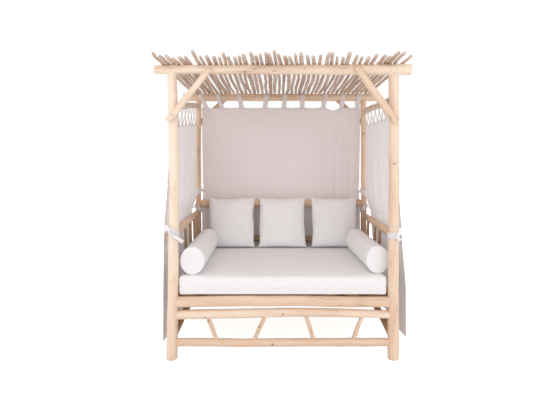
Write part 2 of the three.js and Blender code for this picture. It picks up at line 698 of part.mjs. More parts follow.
const mattressY = frontY - mattressFrontSetOut + mattressDepth / 2;
const mattressCentre = vec(0, mattressY, mattressBottom);
add('mattress', solidOf(mattressGeometry().translate(...mattressCentre.toArray())),
  mattressCentre, paint.cushion);

// A square pillow: full in the middle, thin at its seam, with its sides drawn in.
function pillowGeometry() {
  const cellCount = 10;
  const point = (i, j, face) => {
    const u = (i / cellCount) * 2 - 1;
    const v = (j / cellCount) * 2 - 1;
    const x = (u * pillowWidth) / 2 * (1 - pillowDrawInShare * (1 - v * v) * u * u);
    const z = (v * pillowHeight) / 2 * (1 - pillowDrawInShare * (1 - u * u) * v * v);
    const full = Math.pow((1 - u * u) * (1 - v * v), 0.42);
    return vec(x, (face * full * pillowThickness) / 2, z);
  };
  const triangles = [];
  for (const face of [-1, 1]) {
    for (let i = 0; i < cellCount; i++) {
      for (let j = 0; j < cellCount; j++) {
        const cell = [point(i, j, face), point(i + 1, j, face), point(i + 1, j + 1, face),
          point(i, j + 1, face)];
        // Each cell is split towards the pillow's nearest corner, so that the corners stay full.
        if ((i < cellCount / 2) !== (j < cellCount / 2)) cell.push(cell.shift());
        const [a, b, c, d] = face < 0 ? cell : cell.reverse();
        triangles.push(a, b, c, a, c, d);
      }
    }
  }
  return new THREE.BufferGeometry().setFromPoints(triangles).rotateX(-pillowLean);
}

// Moves a leaning pillow so that it stands on the mattress and touches the backrest.
const pillow = pillowGeometry();
pillow.computeBoundingBox();
const backrest = sectionAt(logs.get('backrest_top_rail').spec, 'x', 0);
const pillowY = backrest.centre.y - backrest.flat - cushionGap - pillow.boundingBox.max.y;
const pillowZ = mattressTop + cushionGap - pillow.boundingBox.min.z;
const pillowFront = pillowY + pillow.boundingBox.min.y;

function addPillows() {
  const places = [
    ['left', -halfX + leftPillowInset + pillowWidth / 2],
    ['middle', -halfX + leftPillowInset + leftPillowGap + pillowWidth * 1.5],
    ['right', halfX - rightPillowInset - pillowWidth / 2],
  ];
  for (const [place, x] of places) {
    const centre = vec(x, pillowY, pillowZ);
    const placed = pillow.clone().translate(...centre.toArray());
    add(`${place}_pillow`, solidOf(placed), centre, paint.cushion);
  }
}

addPillows();

// A bolster along Y, from its front end: round, and a little narrower than high.
function bolsterGeometry(bolsterLength) {
  const edge = [0, 0.35, 0.7, 1].map((share) => {
    const angle = (share * Math.PI) / 2;
    return [bolsterHeight / 2 - bolsterEdge * (1 - Math.sin(angle)),
      bolsterEdge * (1 - Math.cos(angle))];
  });
  const other = [...edge].reverse().map(([radius, height]) => [radius, bolsterLength - height]);
  return turned([...edge, ...other], 16).scale(bolsterWidth / bolsterHeight, 1, 1);
}

function addBolsters() {
  const z = mattressTop + cushionGap + bolsterHeight / 2;
  const postBack = frontY + Math.max(frontLeftPostFoot, frontRightPostFoot) / 2;
  const reach = halfX - bolsterWidth / 2;
  for (const [side, x, gap, turn] of [['left', -reach + leftBolsterInset, leftBolsterFrontGap, 0],
    ['right', reach - rightBolsterInset, rightBolsterFrontGap, rightBolsterTurn]]) {
    const y = postBack + gap;
    const start = vec(x, y, z);
    const length = pillowFront - bolsterBackGap - y;
    const geometry = bolsterGeometry(length).rotateZ(turn).translate(...start.toArray());
    add(`${side}_bolster`, solidOf(geometry), start, paint.cushion);
  }
}

addBolsters();

// Hanging cloth as a closed sheet. place(across, down) gives its middle, both shares from 0 to
// 1, and its thickness lies along one direction.
function clothSolid(columns, rows, place, across) {
  const half = across.clone().multiplyScalar(curtainThickness / 2);
  const at = (i, j, face) => place(i / columns, j / rows).addScaledVector(half, face);
  const triangles = [];
  const quad = (a, b, c, d) => triangles.push(a, b, c, a, c, d);
  for (let i = 0; i < columns; i++) {
    for (let j = 0; j < rows; j++) {
      quad(at(i, j, 1), at(i, j + 1, 1), at(i + 1, j + 1, 1), at(i + 1, j, 1));
      quad(at(i, j, -1), at(i + 1, j, -1), at(i + 1, j + 1, -1), at(i, j + 1, -1));
    }
    quad(at(i, 0, -1), at(i, 0, 1), at(i + 1, 0, 1), at(i + 1, 0, -1));
    quad(at(i, rows, -1), at(i + 1, rows, -1), at(i + 1, rows, 1), at(i, rows, 1));
  }
  for (let j = 0; j < rows; j++) {
    quad(at(0, j, -1), at(0, j + 1, -1), at(0, j + 1, 1), at(0, j, 1));
    quad(at(columns, j, -1), at(columns, j, 1), at(columns, j + 1, 1), at(columns, j + 1, -1));
  }
  const geometry = new THREE.BufferGeometry().setFromPoints(triangles);
  const made = solidOf(geometry);
  if (made.volume() > 0) return made;
  const turned = geometryOf(made);
  turned.index.array.reverse();
  return solidOf(turned);
}

// A closed band of cloth between an outer and an inner outline with as many points each, of the
// given width along Z.
function bandSolid(outer, inner, width) {
  const corner = (outline, k, z) => vec(outline[k % outline.length][0],
    outline[k % outline.length][1], z);
  const triangles = [];
  const quad = (a, b, c, d) => triangles.push(a, b, c, a, c, d);
  outer.forEach((_, k) => {
    const [a, b] = [corner(outer, k, 0), corner(outer, k + 1, 0)];
    const [c, d] = [corner(outer, k, width), corner(outer, k + 1, width)];
    const [e, f] = [corner(inner, k, 0), corner(inner, k + 1, 0)];
    const [g, h] = [corner(inner, k, width), corner(inner, k + 1, width)];
    quad(a, b, d, c);
    quad(f, e, g, h);
    quad(c, d, h, g);
    quad(b, a, e, f);
  });
  return solidOf(new THREE.BufferGeometry().setFromPoints(triangles));
}

// A loop of cloth over a round rail that narrows down to the curtain's upper edge, drawn in the
// plane across the rail: u is sideways from the rail's axis and v is up from it.
function loopSolid(railReach, footU, footV, width) {
  const inner = loopInner(railReach);
  const outline = (radius, footHalf, footLow) => {
    const arc = Array.from({ length: loopStepCount + 1 }, (_, i) => {
      const angle = (i / loopStepCount) * Math.PI;
      return [radius * Math.cos(angle), radius * Math.sin(angle)];
    });
    return [...arc, [-radius, -inner], [footU - footHalf, footLow], [footU + footHalf, footLow],
      [radius, -inner]];
  };
  const outer = outline(inner + bandThickness, bandThickness * 1.5, footV - curtainThickness * 2);
  return bandSolid(outer, outline(inner, bandThickness / 4, footV + bandThickness), width);
}

// A band round a post, with a tail that reaches the curtain's edge.
function tieSolid(centre, postReach, towards, height) {
  const sideCount = 10;
  const inner = (postReach + clothGap) / Math.cos(Math.PI / sideCount);
  const ring = (radius) => Array.from({ length: sideCount }, (_, i) => {
    const angle = (i / sideCount) * Math.PI * 2;
    return [radius * Math.cos(angle), radius * Math.sin(angle)];
  });
  const { x, y, z } = centre;
  const band = bandSolid(ring(inner + bandThickness), ring(inner), height).translate(
    [x, y, z - height / 2]);
  const reach = towards.clone().sub(centre).setZ(0);
  const from = inner + bandThickness / 2;
  const length = Math.max(reach.length() - from + curtainThickness, bandThickness);
  const tail = new THREE.BoxGeometry(length, bandThickness * 2, height * 0.8)
    .translate(from + length / 2, 0, 0).rotateZ(Math.atan2(reach.y, reach.x)).translate(x, y, z);
  return band.add(solidOf(tail));
}

const ease = (share) => {
  const s = Math.min(Math.max(share, 0), 1);
  return s * s * (3 - 2 * s);
};

// A post's heart at a height, and how far its bark reaches from there.
function postAt(post, height) {
  const { spec } = logs.get(post);
  const share = height / spec.curve.getPoint(1).z;
  const heart = spec.curve.getPoint(share);
  return { heart: vec(heart.x, heart.y, height), reach: spec.radiusAt(share) + woodBend * 0.25 };
}

// The back curtain hangs between the back posts and passes behind the backrest.
function backCurtainPoint(across, down) {
  const top = backBeamHeight - backCurtainDrop;
  const z = mix(top, curtainHem, down);
  const low = ease((backCurtainTieHeight - z) / (backCurtainTieHeight - backrestRailHeight));
  const halfWidth = halfX - mix(backCurtainInset, backCurtainLowInset, low);
  const behind = ease((top - z) / (top - backrestRailHeight - backrestRailDiameter));
  const fold = curtainFold * wave(across * backCurtainFoldCount) * mix(0.4, 1, down);
  const edge = Math.pow(Math.abs(across * 2 - 1), 8);
  return vec(mix(-halfWidth, halfWidth, across), backY + behind * backCurtainSetBack +
    fold * (1 - edge), z);
}

function addBackCurtain() {
  let curtain = clothSolid(24, 7, backCurtainPoint, vec(0, 1, 0));
  for (const share of tabPlaceShares) {
    const x = share * halfX;
    const { centre, reach } = sectionAt(logs.get('back_top_beam').spec, 'x', x);
    const tab = loopSolid(reach, backY - centre.y, backBeamHeight - backCurtainDrop - centre.z,
      tabWidth).rotate([90, 0, 90]).translate([x - tabWidth / 2, centre.y, centre.z]);
    curtain = curtain.add(tab);
  }
  const along = (backBeamHeight - backCurtainDrop - backCurtainTieHeight) /
    (backBeamHeight - backCurtainDrop - curtainHem);
  for (const [sign, across] of [[-1, 0], [1, 1]]) {
    const { heart, reach } = postAt(sign < 0 ? 'back_left_post' : 'back_right_post',
      backCurtainTieHeight);
    curtain = curtain.add(tieSolid(heart, reach, backCurtainPoint(across, along),
      tieBandHeight));
  }
  const against = ['back_left_brace', 'back_right_brace'].map(grown);
  add('back_curtain', cut(curtain, against), vec(0, backY, backBeamHeight), paint.cloth);
}

const sideCurtains = {
  left: { drop: leftCurtainDrop, rise: leftCurtainRise, hem: leftCurtainHem,
    flare: leftCurtainFlare },
  right: { drop: rightCurtainDrop, rise: rightCurtainRise, hem: rightCurtainHem,
    flare: rightCurtainFlare },
};
const sideCurtainTop = (side, across) =>
  frontBeamHeight - sideCurtains[side].drop + sideCurtains[side].rise * across;

// A side curtain hangs from its rail between the posts, passes outside the arm rail, where it is
// tied to the posts, and flares below.
function sideCurtainPoint(side, across, down) {
  const { hem, flare } = sideCurtains[side];
  const outerPost = Math.max(frontLeftPostFoot, frontRightPostFoot) / 2;
  const armOut = armSetOut + Math.max(armRailFrontDiameter, armRailBackDiameter) / 2;
  const hung = halfX + sideCurtainSetOut;
  const near = halfX + Math.max(outerPost, armOut) + curtainThickness + curtainFold + clothGap;
  const top = sideCurtainTop(side, across);
  const z = mix(top, hem, down);
  const tie = mix(frontTieHeight, backTieHeight, across);
  const drawn = Math.min((top - z) / (top - tie), 1);
  const below = ease((tie - z) / (tie / 2));
  const swung = Math.pow(drawn, mix(1, backEdgeHugPower, across));
  const end = halfY - mix(sideCurtainTopInset, sideCurtainEndInset, swung);
  const edge = Math.pow(Math.abs(across * 2 - 1), 6);
  const fold = curtainFold * wave(across * sideCurtainFoldCount) * (1 - edge);
  const x = mix(hung, near, swung) + below * flare + fold * mix(0.5, 1, down);
  return vec(x, mix(-end, end, across), z);
}

function addSideCurtain(side, sign) {
  const place = (across, down) => sideCurtainPoint(side, across, down).multiply(vec(sign, 1, 1));
  let curtain = clothSolid(18, 8, place, vec(1, 0, 0));
  for (const share of strapPlaceShares) {
    const y = share * halfY;
    const foot = place((y + halfY - sideCurtainTopInset) /
      (postSpacingY - sideCurtainTopInset * 2), 0);
    const { centre, reach } = sectionAt(logs.get(`${side}_top_rail`).spec, 'y', y);
    const strap = loopSolid(reach, foot.x - centre.x, foot.z - centre.z, strapWidth)
      .rotate([90, 0, 0]).translate([centre.x, y + strapWidth / 2, centre.z]);
    curtain = curtain.add(strap);
  }
  const { hem } = sideCurtains[side];
  for (const [row, height, across] of [['front', frontTieHeight, 0], ['back', backTieHeight, 1]]) {
    const top = sideCurtainTop(side, across);
    const edge = place(across, (top - height) / (top - hem));
    const { heart, reach } = postAt(`${row}_${side}_post`, height);
    curtain = curtain.add(tieSolid(heart, reach, edge, tieBandHeight));
  }
  const against = [`${side}_top_rail`, `${side}_arm_rail`, 'backrest_top_rail'].map(grown);
  add(`${side}_curtain`, cut(curtain, against), vec(sign * halfX, 0, sideCurtainTop(side, 0)),
    paint.cloth);
}

addBackCurtain();
addSideCurtain('left', -1);
addSideCurtain('right', 1);

export default daybed;
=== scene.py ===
# %% [markdown]
# # An outdoor daybed with a canopy
#
# The real object is built of peeled branch wood. Four crooked posts carry two round beams and a
# roof of bare sticks, white curtains hang at its back and sides, and a mattress, pillows and
# bolsters lie on a log seat. The measured model is loaded first, in metres, with Z up and the
# front towards -Y. Everything made here stands where that model says, so it comes before all else.

# %% Load the measured model
import json
import math
import random
from collections import namedtuple

import bmesh
import bpy
from mathutils import Matrix, Vector, noise


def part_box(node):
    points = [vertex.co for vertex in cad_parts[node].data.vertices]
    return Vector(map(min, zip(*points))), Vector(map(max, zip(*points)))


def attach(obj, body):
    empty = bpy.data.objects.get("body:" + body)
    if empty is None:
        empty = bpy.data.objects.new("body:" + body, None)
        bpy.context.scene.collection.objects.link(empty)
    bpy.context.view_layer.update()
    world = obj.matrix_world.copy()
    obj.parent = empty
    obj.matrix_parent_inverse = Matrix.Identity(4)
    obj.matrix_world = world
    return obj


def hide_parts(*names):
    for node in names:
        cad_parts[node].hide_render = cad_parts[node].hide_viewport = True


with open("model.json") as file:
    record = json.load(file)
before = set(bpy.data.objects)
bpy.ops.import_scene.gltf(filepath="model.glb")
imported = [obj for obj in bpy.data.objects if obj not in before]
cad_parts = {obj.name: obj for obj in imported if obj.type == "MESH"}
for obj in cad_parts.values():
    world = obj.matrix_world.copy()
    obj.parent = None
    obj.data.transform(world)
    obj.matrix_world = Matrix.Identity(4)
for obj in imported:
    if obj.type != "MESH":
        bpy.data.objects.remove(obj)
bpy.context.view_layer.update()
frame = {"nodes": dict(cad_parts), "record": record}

nodes = frame["nodes"]
record = frame["record"]
body_of_node = {name: body for body, names in record["behaviour"]["bodies"].items()
                for name in names}

# %% [markdown]
# ## The camera
#
# The daybed is seen square on, from close by and a little below its roof, so its sides lean
# inwards as they run back. A wide lens at the true distance gives that, and a camera that looks
# level keeps the posts upright. The lens is shifted down instead of tilting the camera, as a
# photographer of buildings does.

# %% Place the camera
CAMERA_PLACE = (-0.048, -3.3375, 1.466)
LENS_MM = 27.1
SENSOR_MM = 36
LENS_SHIFT = (-0.0018, -0.1036)
scene = bpy.context.scene
camera_data = bpy.data.cameras.new("photographer")
camera_data.lens = LENS_MM
camera_data.sensor_width = SENSOR_MM
camera_data.shift_x, camera_data.shift_y = LENS_SHIFT
camera = bpy.data.objects.new("photographer", camera_data)
camera.location = CAMERA_PLACE
camera.rotation_euler = (math.radians(90), 0, 0)
scene.collection.objects.link(camera)
bpy.context.scene.camera = camera
print("camera at", CAMERA_PLACE)

# %% [markdown]
# ## Shader maths as plain Python
#
# A finish is a small network of nodes. Written node by node, it is hard to read, so one class
# wraps a socket and gives it Python's own signs for plus, minus and times. Another holds a
# network, and adds any node with its settings first and its sockets after them. A finish is
# such a network, with a material round it.

# %% A socket that can be added and multiplied
class Value:
    """The output of a node, so that sums on it read as sums."""

    def __init__(self, network, socket):
        self.network = network
        self.socket = socket

    def maths(self, operation, *others):
        values = dict(enumerate([self, *others]))
        return self.network.node("ShaderNodeMath", {"operation": operation}, values)

    def __add__(self, other):
        return self.maths("ADD", other)

    def __sub__(self, other):
        return self.maths("SUBTRACT", other)

    def __rsub__(self, other):
        return self.network.node("ShaderNodeMath", {"operation": "SUBTRACT"}, {0: other, 1: self})

    def __mul__(self, other):
        return self.maths("MULTIPLY", other)

    def __abs__(self):
        return self.maths("ABSOLUTE")

    def within(self, low, high):
        """0 up to low and 1 from high on, with a soft step between them."""
        settings = {"interpolation_type": "SMOOTHSTEP"}
        return self.network.node("ShaderNodeMapRange", settings,
                                 {"Value": self, "From Min": low, "From Max": high}, "Result")

    __radd__ = __add__
    __rmul__ = __mul__


# %% A network that is written line by line
def colour(red, green, blue):
    """A colour as it shows on a screen, from 0 to 255, as the linear colour that Blender wants."""
    shares = [part / 255 for part in (red, green, blue)]
    linear = [s / 12.92 if s <= 0.04045 else ((s + 0.055) / 1.055) ** 2.4 for s in shares]
    return (*linear, 1.0)


class Network:
    """A tree of nodes, to which nodes are added and joined."""

    def __init__(self, tree):
        self.nodes = tree.nodes
        self.links = tree.links

    def plug(self, value, socket):
        if isinstance(value, Value):
            self.links.new(value.socket, socket)
        else:
            socket.default_value = value

    def node(self, kind, settings, sockets, output=0):
        made = self.nodes.new(kind)
        for setting, value in settings.items():
            setattr(made, setting, value)
        for name, value in sockets.items():
            self.plug(value, made.inputs[name])
        return Value(self, made.outputs[output])

    def seen(self):
        """1 where the camera looks, straight or by a reflection, and 0 where light is gathered."""
        paths = self.nodes.new("ShaderNodeLightPath").outputs
        camera, glossy, through = [Value(self, paths[f"Is {kind} Ray"])
                                   for kind in ("Camera", "Glossy", "Transmission")]
        return camera.maths("MAXIMUM", glossy).maths("MAXIMUM", through)


class Finish(Network):
    """A material with a Principled shader, whose fixed values are set on its own sockets."""

    def __init__(self, name, **fixed):
        self.material = bpy.data.materials.new(name)
        self.material.use_nodes = True
        super().__init__(self.material.node_tree)
        self.shader = self.nodes["Principled BSDF"]
        self.finished(**fixed)

    def attribute(self, name, output="Vector"):
        return self.node("ShaderNodeAttribute", {"attribute_name": name}, {}, output)

    def place(self):
        return self.node("ShaderNodeTexCoord", {}, {}, "Object")

    def stretched(self, vector, scales):
        return self.node("ShaderNodeVectorMath", {"operation": "MULTIPLY"},
                         {0: vector, 1: scales})

    def cloudy(self, vector, scale, detail=2.0, roughness=0.5, distortion=0.0):
        return self.node("ShaderNodeTexNoise", {}, {
            "Vector": vector, "Scale": scale, "Detail": detail, "Roughness": roughness,
            "Distortion": distortion}, "Fac")

    def blend(self, share, first, second):
        """A colour between two others, where share is 0 for the first and 1 for the second."""
        return self.node("ShaderNodeMix", {"data_type": "RGBA"}, {0: share, 6: first, 7: second}, 2)

    def relief(self, height, strength, distance):
        return self.node("ShaderNodeBump", {}, {
            "Height": height, "Strength": strength, "Distance": distance})

    def finished(self, **varying):
        for socket, value in varying.items():
            self.plug(value, self.shader.inputs[socket.replace("_", " ").title()])
        return self.material


# %% [markdown]
# ## Peeled branch wood
#
# Peeled and dried branches are cream, with long fibres, soft brown streaks, hair cracks and dark
# knots where twigs grew. Such a pattern runs along each crooked log, so no straight axis fits it.
# Each log therefore carries its own map, an attribute called grain: the way along the log, and
# the place across it. Noise that is squeezed along that first number becomes fibre. A second
# attribute, knot, is 1 in the heart of a knot, and a third, tone, says how dark this log is.
# All of the wood turns browner towards the floor.

# %% The finish of the logs
BROWN_BELOW = 1.4


def branch_wood(name, pale, warm, dark, streaks, roughness):
    wood = Finish(name)
    grain = wood.attribute("grain")
    knot = wood.attribute("knot", "Fac")
    tone = wood.attribute("tone", "Fac")
    broad = wood.cloudy(wood.stretched(grain, (2.2, 16, 16)), 1.0, 2.0)
    patches = wood.cloudy(wood.stretched(grain, (7, 22, 22)), 1.0, 3.0, 0.6, 0.4)
    fibre = wood.cloudy(wood.stretched(grain, (5, 210, 210)), 1.0, 3.0, 0.6)
    seam = wood.cloudy(wood.stretched(grain, (3.2, 62, 62)), 1.0, 1.0)
    crack = (1 - abs(seam - 0.5).within(0.0, 0.018)) * broad.within(0.47, 0.62)
    upright = wood.stretched(wood.place(), (0, 0, 1))
    height = wood.node("ShaderNodeVectorMath", {"operation": "LENGTH"}, {0: upright}, "Value")
    low_down = 1 - height.within(0.0, BROWN_BELOW)
    body = wood.blend(broad.within(0.32, 0.68) * 0.7 + tone * 0.55 + low_down * 0.25, pale, warm)
    body = wood.blend(low_down * 0.16, body, dark)
    body = wood.blend(fibre.within(0.45, 0.78) * streaks, body, dark)
    body = wood.blend(patches.within(0.58, 0.78) * (streaks + 0.1), body, dark)
    body = wood.blend(knot.within(0.12, 0.6) * 0.55, body, colour(150, 104, 68))
    body = wood.blend(knot.within(0.62, 0.95) * 0.85, body, colour(78, 50, 32))
    body = wood.blend(crack * 0.5, body, colour(112, 80, 56))
    relief = fibre * 0.35 + patches * 0.3 - crack * 0.9
    return wood.finished(base_color=body, roughness=fibre * 0.25 + (roughness - 0.1),
                         normal=wood.relief(relief, 0.55, 0.0016))


peeled_wood = branch_wood("peeled_branch_wood", colour(249, 231, 211), colour(234, 203, 176),
                          colour(205, 163, 130), 0.28, 0.6)
# A darker copy of the same wood is painted shade, for the pieces that stand back under the roof or
# on the side away from the main lamp.
half_shaded_wood = branch_wood("rail_branch_wood", colour(238, 213, 187), colour(224, 188, 156),
                        colour(188, 143, 108), 0.34, 0.62)
# A still darker copy is painted shade, for the wood behind the cushions, under the seat and in the
# back braces.
shade_wood = branch_wood("deep_shade_branch_wood", colour(222, 188, 156), colour(202, 162, 126),
                         colour(156, 112, 78), 0.4, 0.66)
stick_wood = branch_wood("roof_stick_wood", colour(226, 206, 190), colour(204, 176, 156),
                         colour(148, 118, 100), 0.5, 0.74)
print("wood finishes:", peeled_wood.name, half_shaded_wood.name, shade_wood.name, stick_wood.name)

# %% [markdown]
# ## The sawn ends
#
# A sawn end shows year rings and a few cracks that run out from the heart. The same map gives
# them: its second and third numbers are the place across the log, so their length is the
# distance from the heart.

# %% The finish of the sawn ends
def sawn_end(name, pale, dark):
    wood = Finish(name, roughness=0.75)
    grain = wood.attribute("grain")
    across = wood.stretched(grain, (0, 1, 1))
    reach = wood.node("ShaderNodeVectorMath", {"operation": "LENGTH"}, {0: across}, "Value")
    wobble = wood.cloudy(across, 60.0, 2.0)
    rings = (reach * 900 + wobble * 5).maths("SINE").within(-0.2, 1.0)
    spokes = wood.cloudy(across, 160.0, 3.0)
    face = wood.blend(rings * 0.4, pale, dark)
    face = wood.blend(spokes.within(0.55, 0.75) * 0.4, face, dark)
    height = rings * 0.3 + spokes * 0.5
    return wood.finished(base_color=face, normal=wood.relief(height, 0.4, 0.001))


log_end = sawn_end("sawn_log_end", colour(232, 208, 178), colour(196, 158, 120))
stick_end_wood = sawn_end("sawn_stick_end", colour(238, 220, 198), colour(196, 168, 142))
print("end finishes:", log_end.name, stick_end_wood.name)

# %% [markdown]
# ## Finding the line of a log
#
# The measured model holds every log as a plain many-sided solid. A sawyer would find the line of
# such a log by slicing it. Here bmesh bisects a copy, keeps only the cut, and fills it: the
# middle and the area of that face give the log's heart and its thickness there. Reading them
# from the model keeps this script free of a second set of sizes.

# %% Slice a measured piece
Slice = namedtuple("Slice", "centre radius")


def copy_of(node):
    """The node's own mesh as a closed bmesh. The node itself is left alone."""
    shape = bmesh.new()
    shape.from_mesh(nodes[node].data)
    bmesh.ops.remove_doubles(shape, verts=shape.verts, dist=1e-5)
    return shape


def slices(shape, place, direction):
    """Every separate face of a straight cut through a shape."""
    cut = shape.copy()
    everything = cut.verts[:] + cut.edges[:] + cut.faces[:]
    bmesh.ops.bisect_plane(cut, geom=everything, dist=1e-6, plane_co=place,
                           plane_no=direction, clear_inner=True, clear_outer=True)
    faces = bmesh.ops.edgeloop_fill(cut, edges=cut.edges[:])["faces"]
    found = [Slice(face.calc_center_median_weighted(), math.sqrt(face.calc_area() / math.pi))
             for face in faces if face.calc_area() > 1e-5]
    cut.free()
    return sorted(found, key=lambda cut_face: cut_face.centre.x)


probe = copy_of("front_left_post")
print("the left post at 1 m:", slices(probe, (0, 0, 1), (0, 0, 1)))
probe.free()

# %% [markdown]
# A log's two ends are notched round its neighbours, so the slices there would be crescents. Only
# the clean middle is measured, and the line is carried on straight to both ends, into the
# neighbour, where nobody sees it.

# %% Measure the line of a log
Station = namedtuple("Station", "share centre radius")


def between(a, b, share):
    return a + (b - a) * share


def log_line(node, first=0.1, last=0.9, count=9):
    """Stations along a log, from its low, left or front end to the other one."""
    low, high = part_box(node)
    size = high - low
    axis = max(range(3), key=lambda i: size[i])
    shape = copy_of(node)
    direction = Vector([float(i == axis) for i in range(3)])
    if sorted(size)[1] > 0.5 * max(size):
        verts = [v.co for v in shape.verts]
        end = max(verts, key=lambda p: (p - verts[0]).length)
        start = max(verts, key=lambda p: (p - end).length)
        direction = (end - start).normalized()
        direction = -direction if direction.z < 0 else direction
    along = [v.co.dot(direction) for v in shape.verts]
    start, end = min(along), max(along)
    stations = []
    for i in range(count):
        share = between(first, last, i / (count - 1))
        cuts = slices(shape, direction * between(start, end, share), direction)
        if cuts:
            widest = max(cuts, key=lambda cut: cut.radius)
            stations.append(Station(share, widest.centre, widest.radius))
    shape.free()
    for near, far, share in ((0, 1, 0.0), (-1, -2, 1.0)):
        a, b = stations[near], stations[far]
        step = (share - a.share) / (a.share - b.share)
        centre = a.centre + (a.centre - b.centre) * step
        radius = max(a.radius + (a.radius - b.radius) * step * 0.5, a.radius * 0.7)
        stations.insert(0 if share == 0 else len(stations), Station(share, centre, radius))
    return stations


def on_curve(p, a, b, n, t):
    """The point at a share t of the way from a to b, on a smooth curve that also meets p and n."""
    return (a * 2 + (b - p) * t + (p * 2 - a * 5 + b * 4 - n) * t * t
            + (a * 3 - p - b * 3 + n) * t * t * t) * 0.5


def at(stations, share):
    """The heart and radius of a line at a share of its length."""
    after = next((i for i, s in enumerate(stations) if s.share >= share), len(stations) - 1)
    after = max(after, 1)
    picks = [stations[max(0, min(i, len(stations) - 1))] for i in range(after - 2, after + 2)]
    a, b = picks[1], picks[2]
    t = (share - a.share) / (b.share - a.share)
    return on_curve(*[pick.centre for pick in picks], t), between(a.radius, b.radius, t)


line = log_line("front_top_beam")
print("front beam from", line[0].centre, "to", line[-1].centre)

# %% [markdown]
# ## Growing a log
#
# A branch isn't a straight tube: it wanders, swells, is a little oval, and has knots. It starts
# as a flat grid, one side for the way along it and one for the way round. Rolling that grid up
# and merging its seam makes the log, and because each point knows its place on the grid, it can
# be pushed in or out by noise and by the knots there. Both ends close in a sawn face. The noise
# that makes a log wander would start from the clock, so it is given a fixed seed first.

# %% Roll a grid up into a log
Gnarl = namedtuple("Gnarl", "wander swell knots oval")
POST = Gnarl(wander=0.0035, swell=0.035, knots=2.2, oval=0.03)
SPINDLE = Gnarl(wander=0.003, swell=0.06, knots=2.0, oval=0.05)
STICK = Gnarl(wander=0.0065, swell=0.13, knots=5.0, oval=0.08)
CUT = ((0.0, 0.02), (0.0, 0.45), (0.0006, 0.8), (0.0022, 0.94), (0.006, 1.0))
BUTT = ((0.0, 0.02), (0.0, 0.5), (0.0, 0.74), (0.005, 0.9), (0.014, 1.0))
MAP_KINDS = {"grain": "float_vector", "knot": "float", "tone": "float",
             "weave": "float_vector", "hem": "float"}
WOOD_MAPS = ("grain", "knot", "tone")
CLOTH_MAPS = ("weave", "hem")
NOISE_SEED = 339
noise.seed_set(NOISE_SEED)


def rows_along(length, spacing, ends):
    """How far along each row of the grid lies, and what share of the full radius it has."""
    start = list(ends[0])
    finish = [(length - run, share) for run, share in reversed(ends[1])]
    first, last = start[-1][0], finish[0][0]
    count = max(2, round((last - first) / spacing))
    middle = [(between(first, last, i / count), 1.0) for i in range(1, count)]
    return start + middle + finish


def knots_on(length, per_metre, seed):
    """Places along and round a log where twigs grew, always the same for one seed."""
    draw = random.Random(seed)
    return [(draw.uniform(0.06, 0.94) * length, draw.uniform(0, math.tau),
             draw.uniform(0.007, 0.013)) for _ in range(max(1, round(per_metre * length)))]


def new_shape(*maps):
    """An empty bmesh whose points carry the named maps."""
    shape = bmesh.new()
    for name in maps:
        getattr(shape.verts.layers, MAP_KINDS[name]).new(name)
    return shape


def maps_of(shape, *names):
    return [getattr(shape.verts.layers, MAP_KINDS[name]).get(name) for name in names]


def grow_log(shape, line, gnarl, seed, sides=24, spacing=0.016, ends=(BUTT, BUTT), tone=0.0):
    """Adds one log to a bmesh, along a measured line."""
    grain_map, knot_map, tone_map = maps_of(shape, *WOOD_MAPS)
    length = (line[-1].centre - line[0].centre).length
    rows = rows_along(length, spacing, ends)
    knots = knots_on(length, gnarl.knots, seed)
    chord = (line[-1].centre - line[0].centre).normalized()
    upright = Vector((1, 0, 0)) if abs(chord.z) > 0.8 else Vector((0, 0, 1))
    hearts = []
    for run, _ in rows:
        heart, radius = at(line, run / length)
        drift = Vector((run * 3.1, seed * 7.7, 0.5))
        drift_by = noise.noise_vector(drift) * gnarl.wander
        drift_by += noise.noise_vector(drift * 3.3) * gnarl.wander * 0.35
        hearts.append((heart + drift_by - chord * drift_by.dot(chord), radius))
    grid = bmesh.ops.create_grid(shape, x_segments=len(rows) - 1, y_segments=sides, size=0.5)
    for vert in grid["verts"]:
        row = round((vert.co.x + 0.5) * (len(rows) - 1))
        angle = (vert.co.y + 0.5) * math.tau
        run, share = rows[row]
        heart, radius = hearts[row]
        ahead = hearts[min(row + 1, len(rows) - 1)][0] - hearts[max(row - 1, 0)][0]
        ahead = ahead.normalized() if ahead.length > 1e-6 else chord
        across = (upright - ahead * upright.dot(ahead)).normalized()
        sideways = ahead.cross(across)
        place = Vector((run, radius * math.cos(angle), radius * math.sin(angle)))
        lump = noise.noise(Vector((run * 9, place.y * 22, place.z * 22 + seed * 3.3)))
        fine = noise.noise(Vector((run * 34, place.y * 70, place.z * 70 + seed * 1.7)))
        out = 1 + gnarl.swell * lump + gnarl.swell * 0.35 * fine
        out += gnarl.oval * math.cos(2 * angle + seed + run * 1.5)
        knotted = 0.0
        for where, side, size in knots:
            turn = (angle - side + math.pi) % math.tau - math.pi
            far = math.hypot(where - run, turn * radius) / size
            if far < 3:
                collar = 0.9 * math.exp(-far * far * 0.7) - 0.5 * math.exp(-far * far * 5)
                out += collar * size * 0.28 / radius
                knotted = max(knotted, math.exp(-far * far * 1.6))
        reach = radius * out * share
        vert.co = heart + across * math.cos(angle) * reach + sideways * math.sin(angle) * reach
        vert[grain_map] = (run + seed * 2.37, math.cos(angle) * radius * share,
                           math.sin(angle) * radius * share)
        vert[knot_map] = knotted
        vert[tone_map] = tone
    for vert in grid["verts"]:
        for face in vert.link_faces:
            face.smooth = True
    bmesh.ops.remove_doubles(shape, verts=grid["verts"], dist=1e-5)


print("rows of a two metre post:", len(rows_along(2.0, 0.016, (BUTT, BUTT))))

# %% [markdown]
# Each log becomes one piece. It stands in for its measured node and moves with the same body. The
# two sawn faces get their own material: they are the faces that look along the log.

# %% Turn grown logs into a piece
END_DEPTH = 0.012


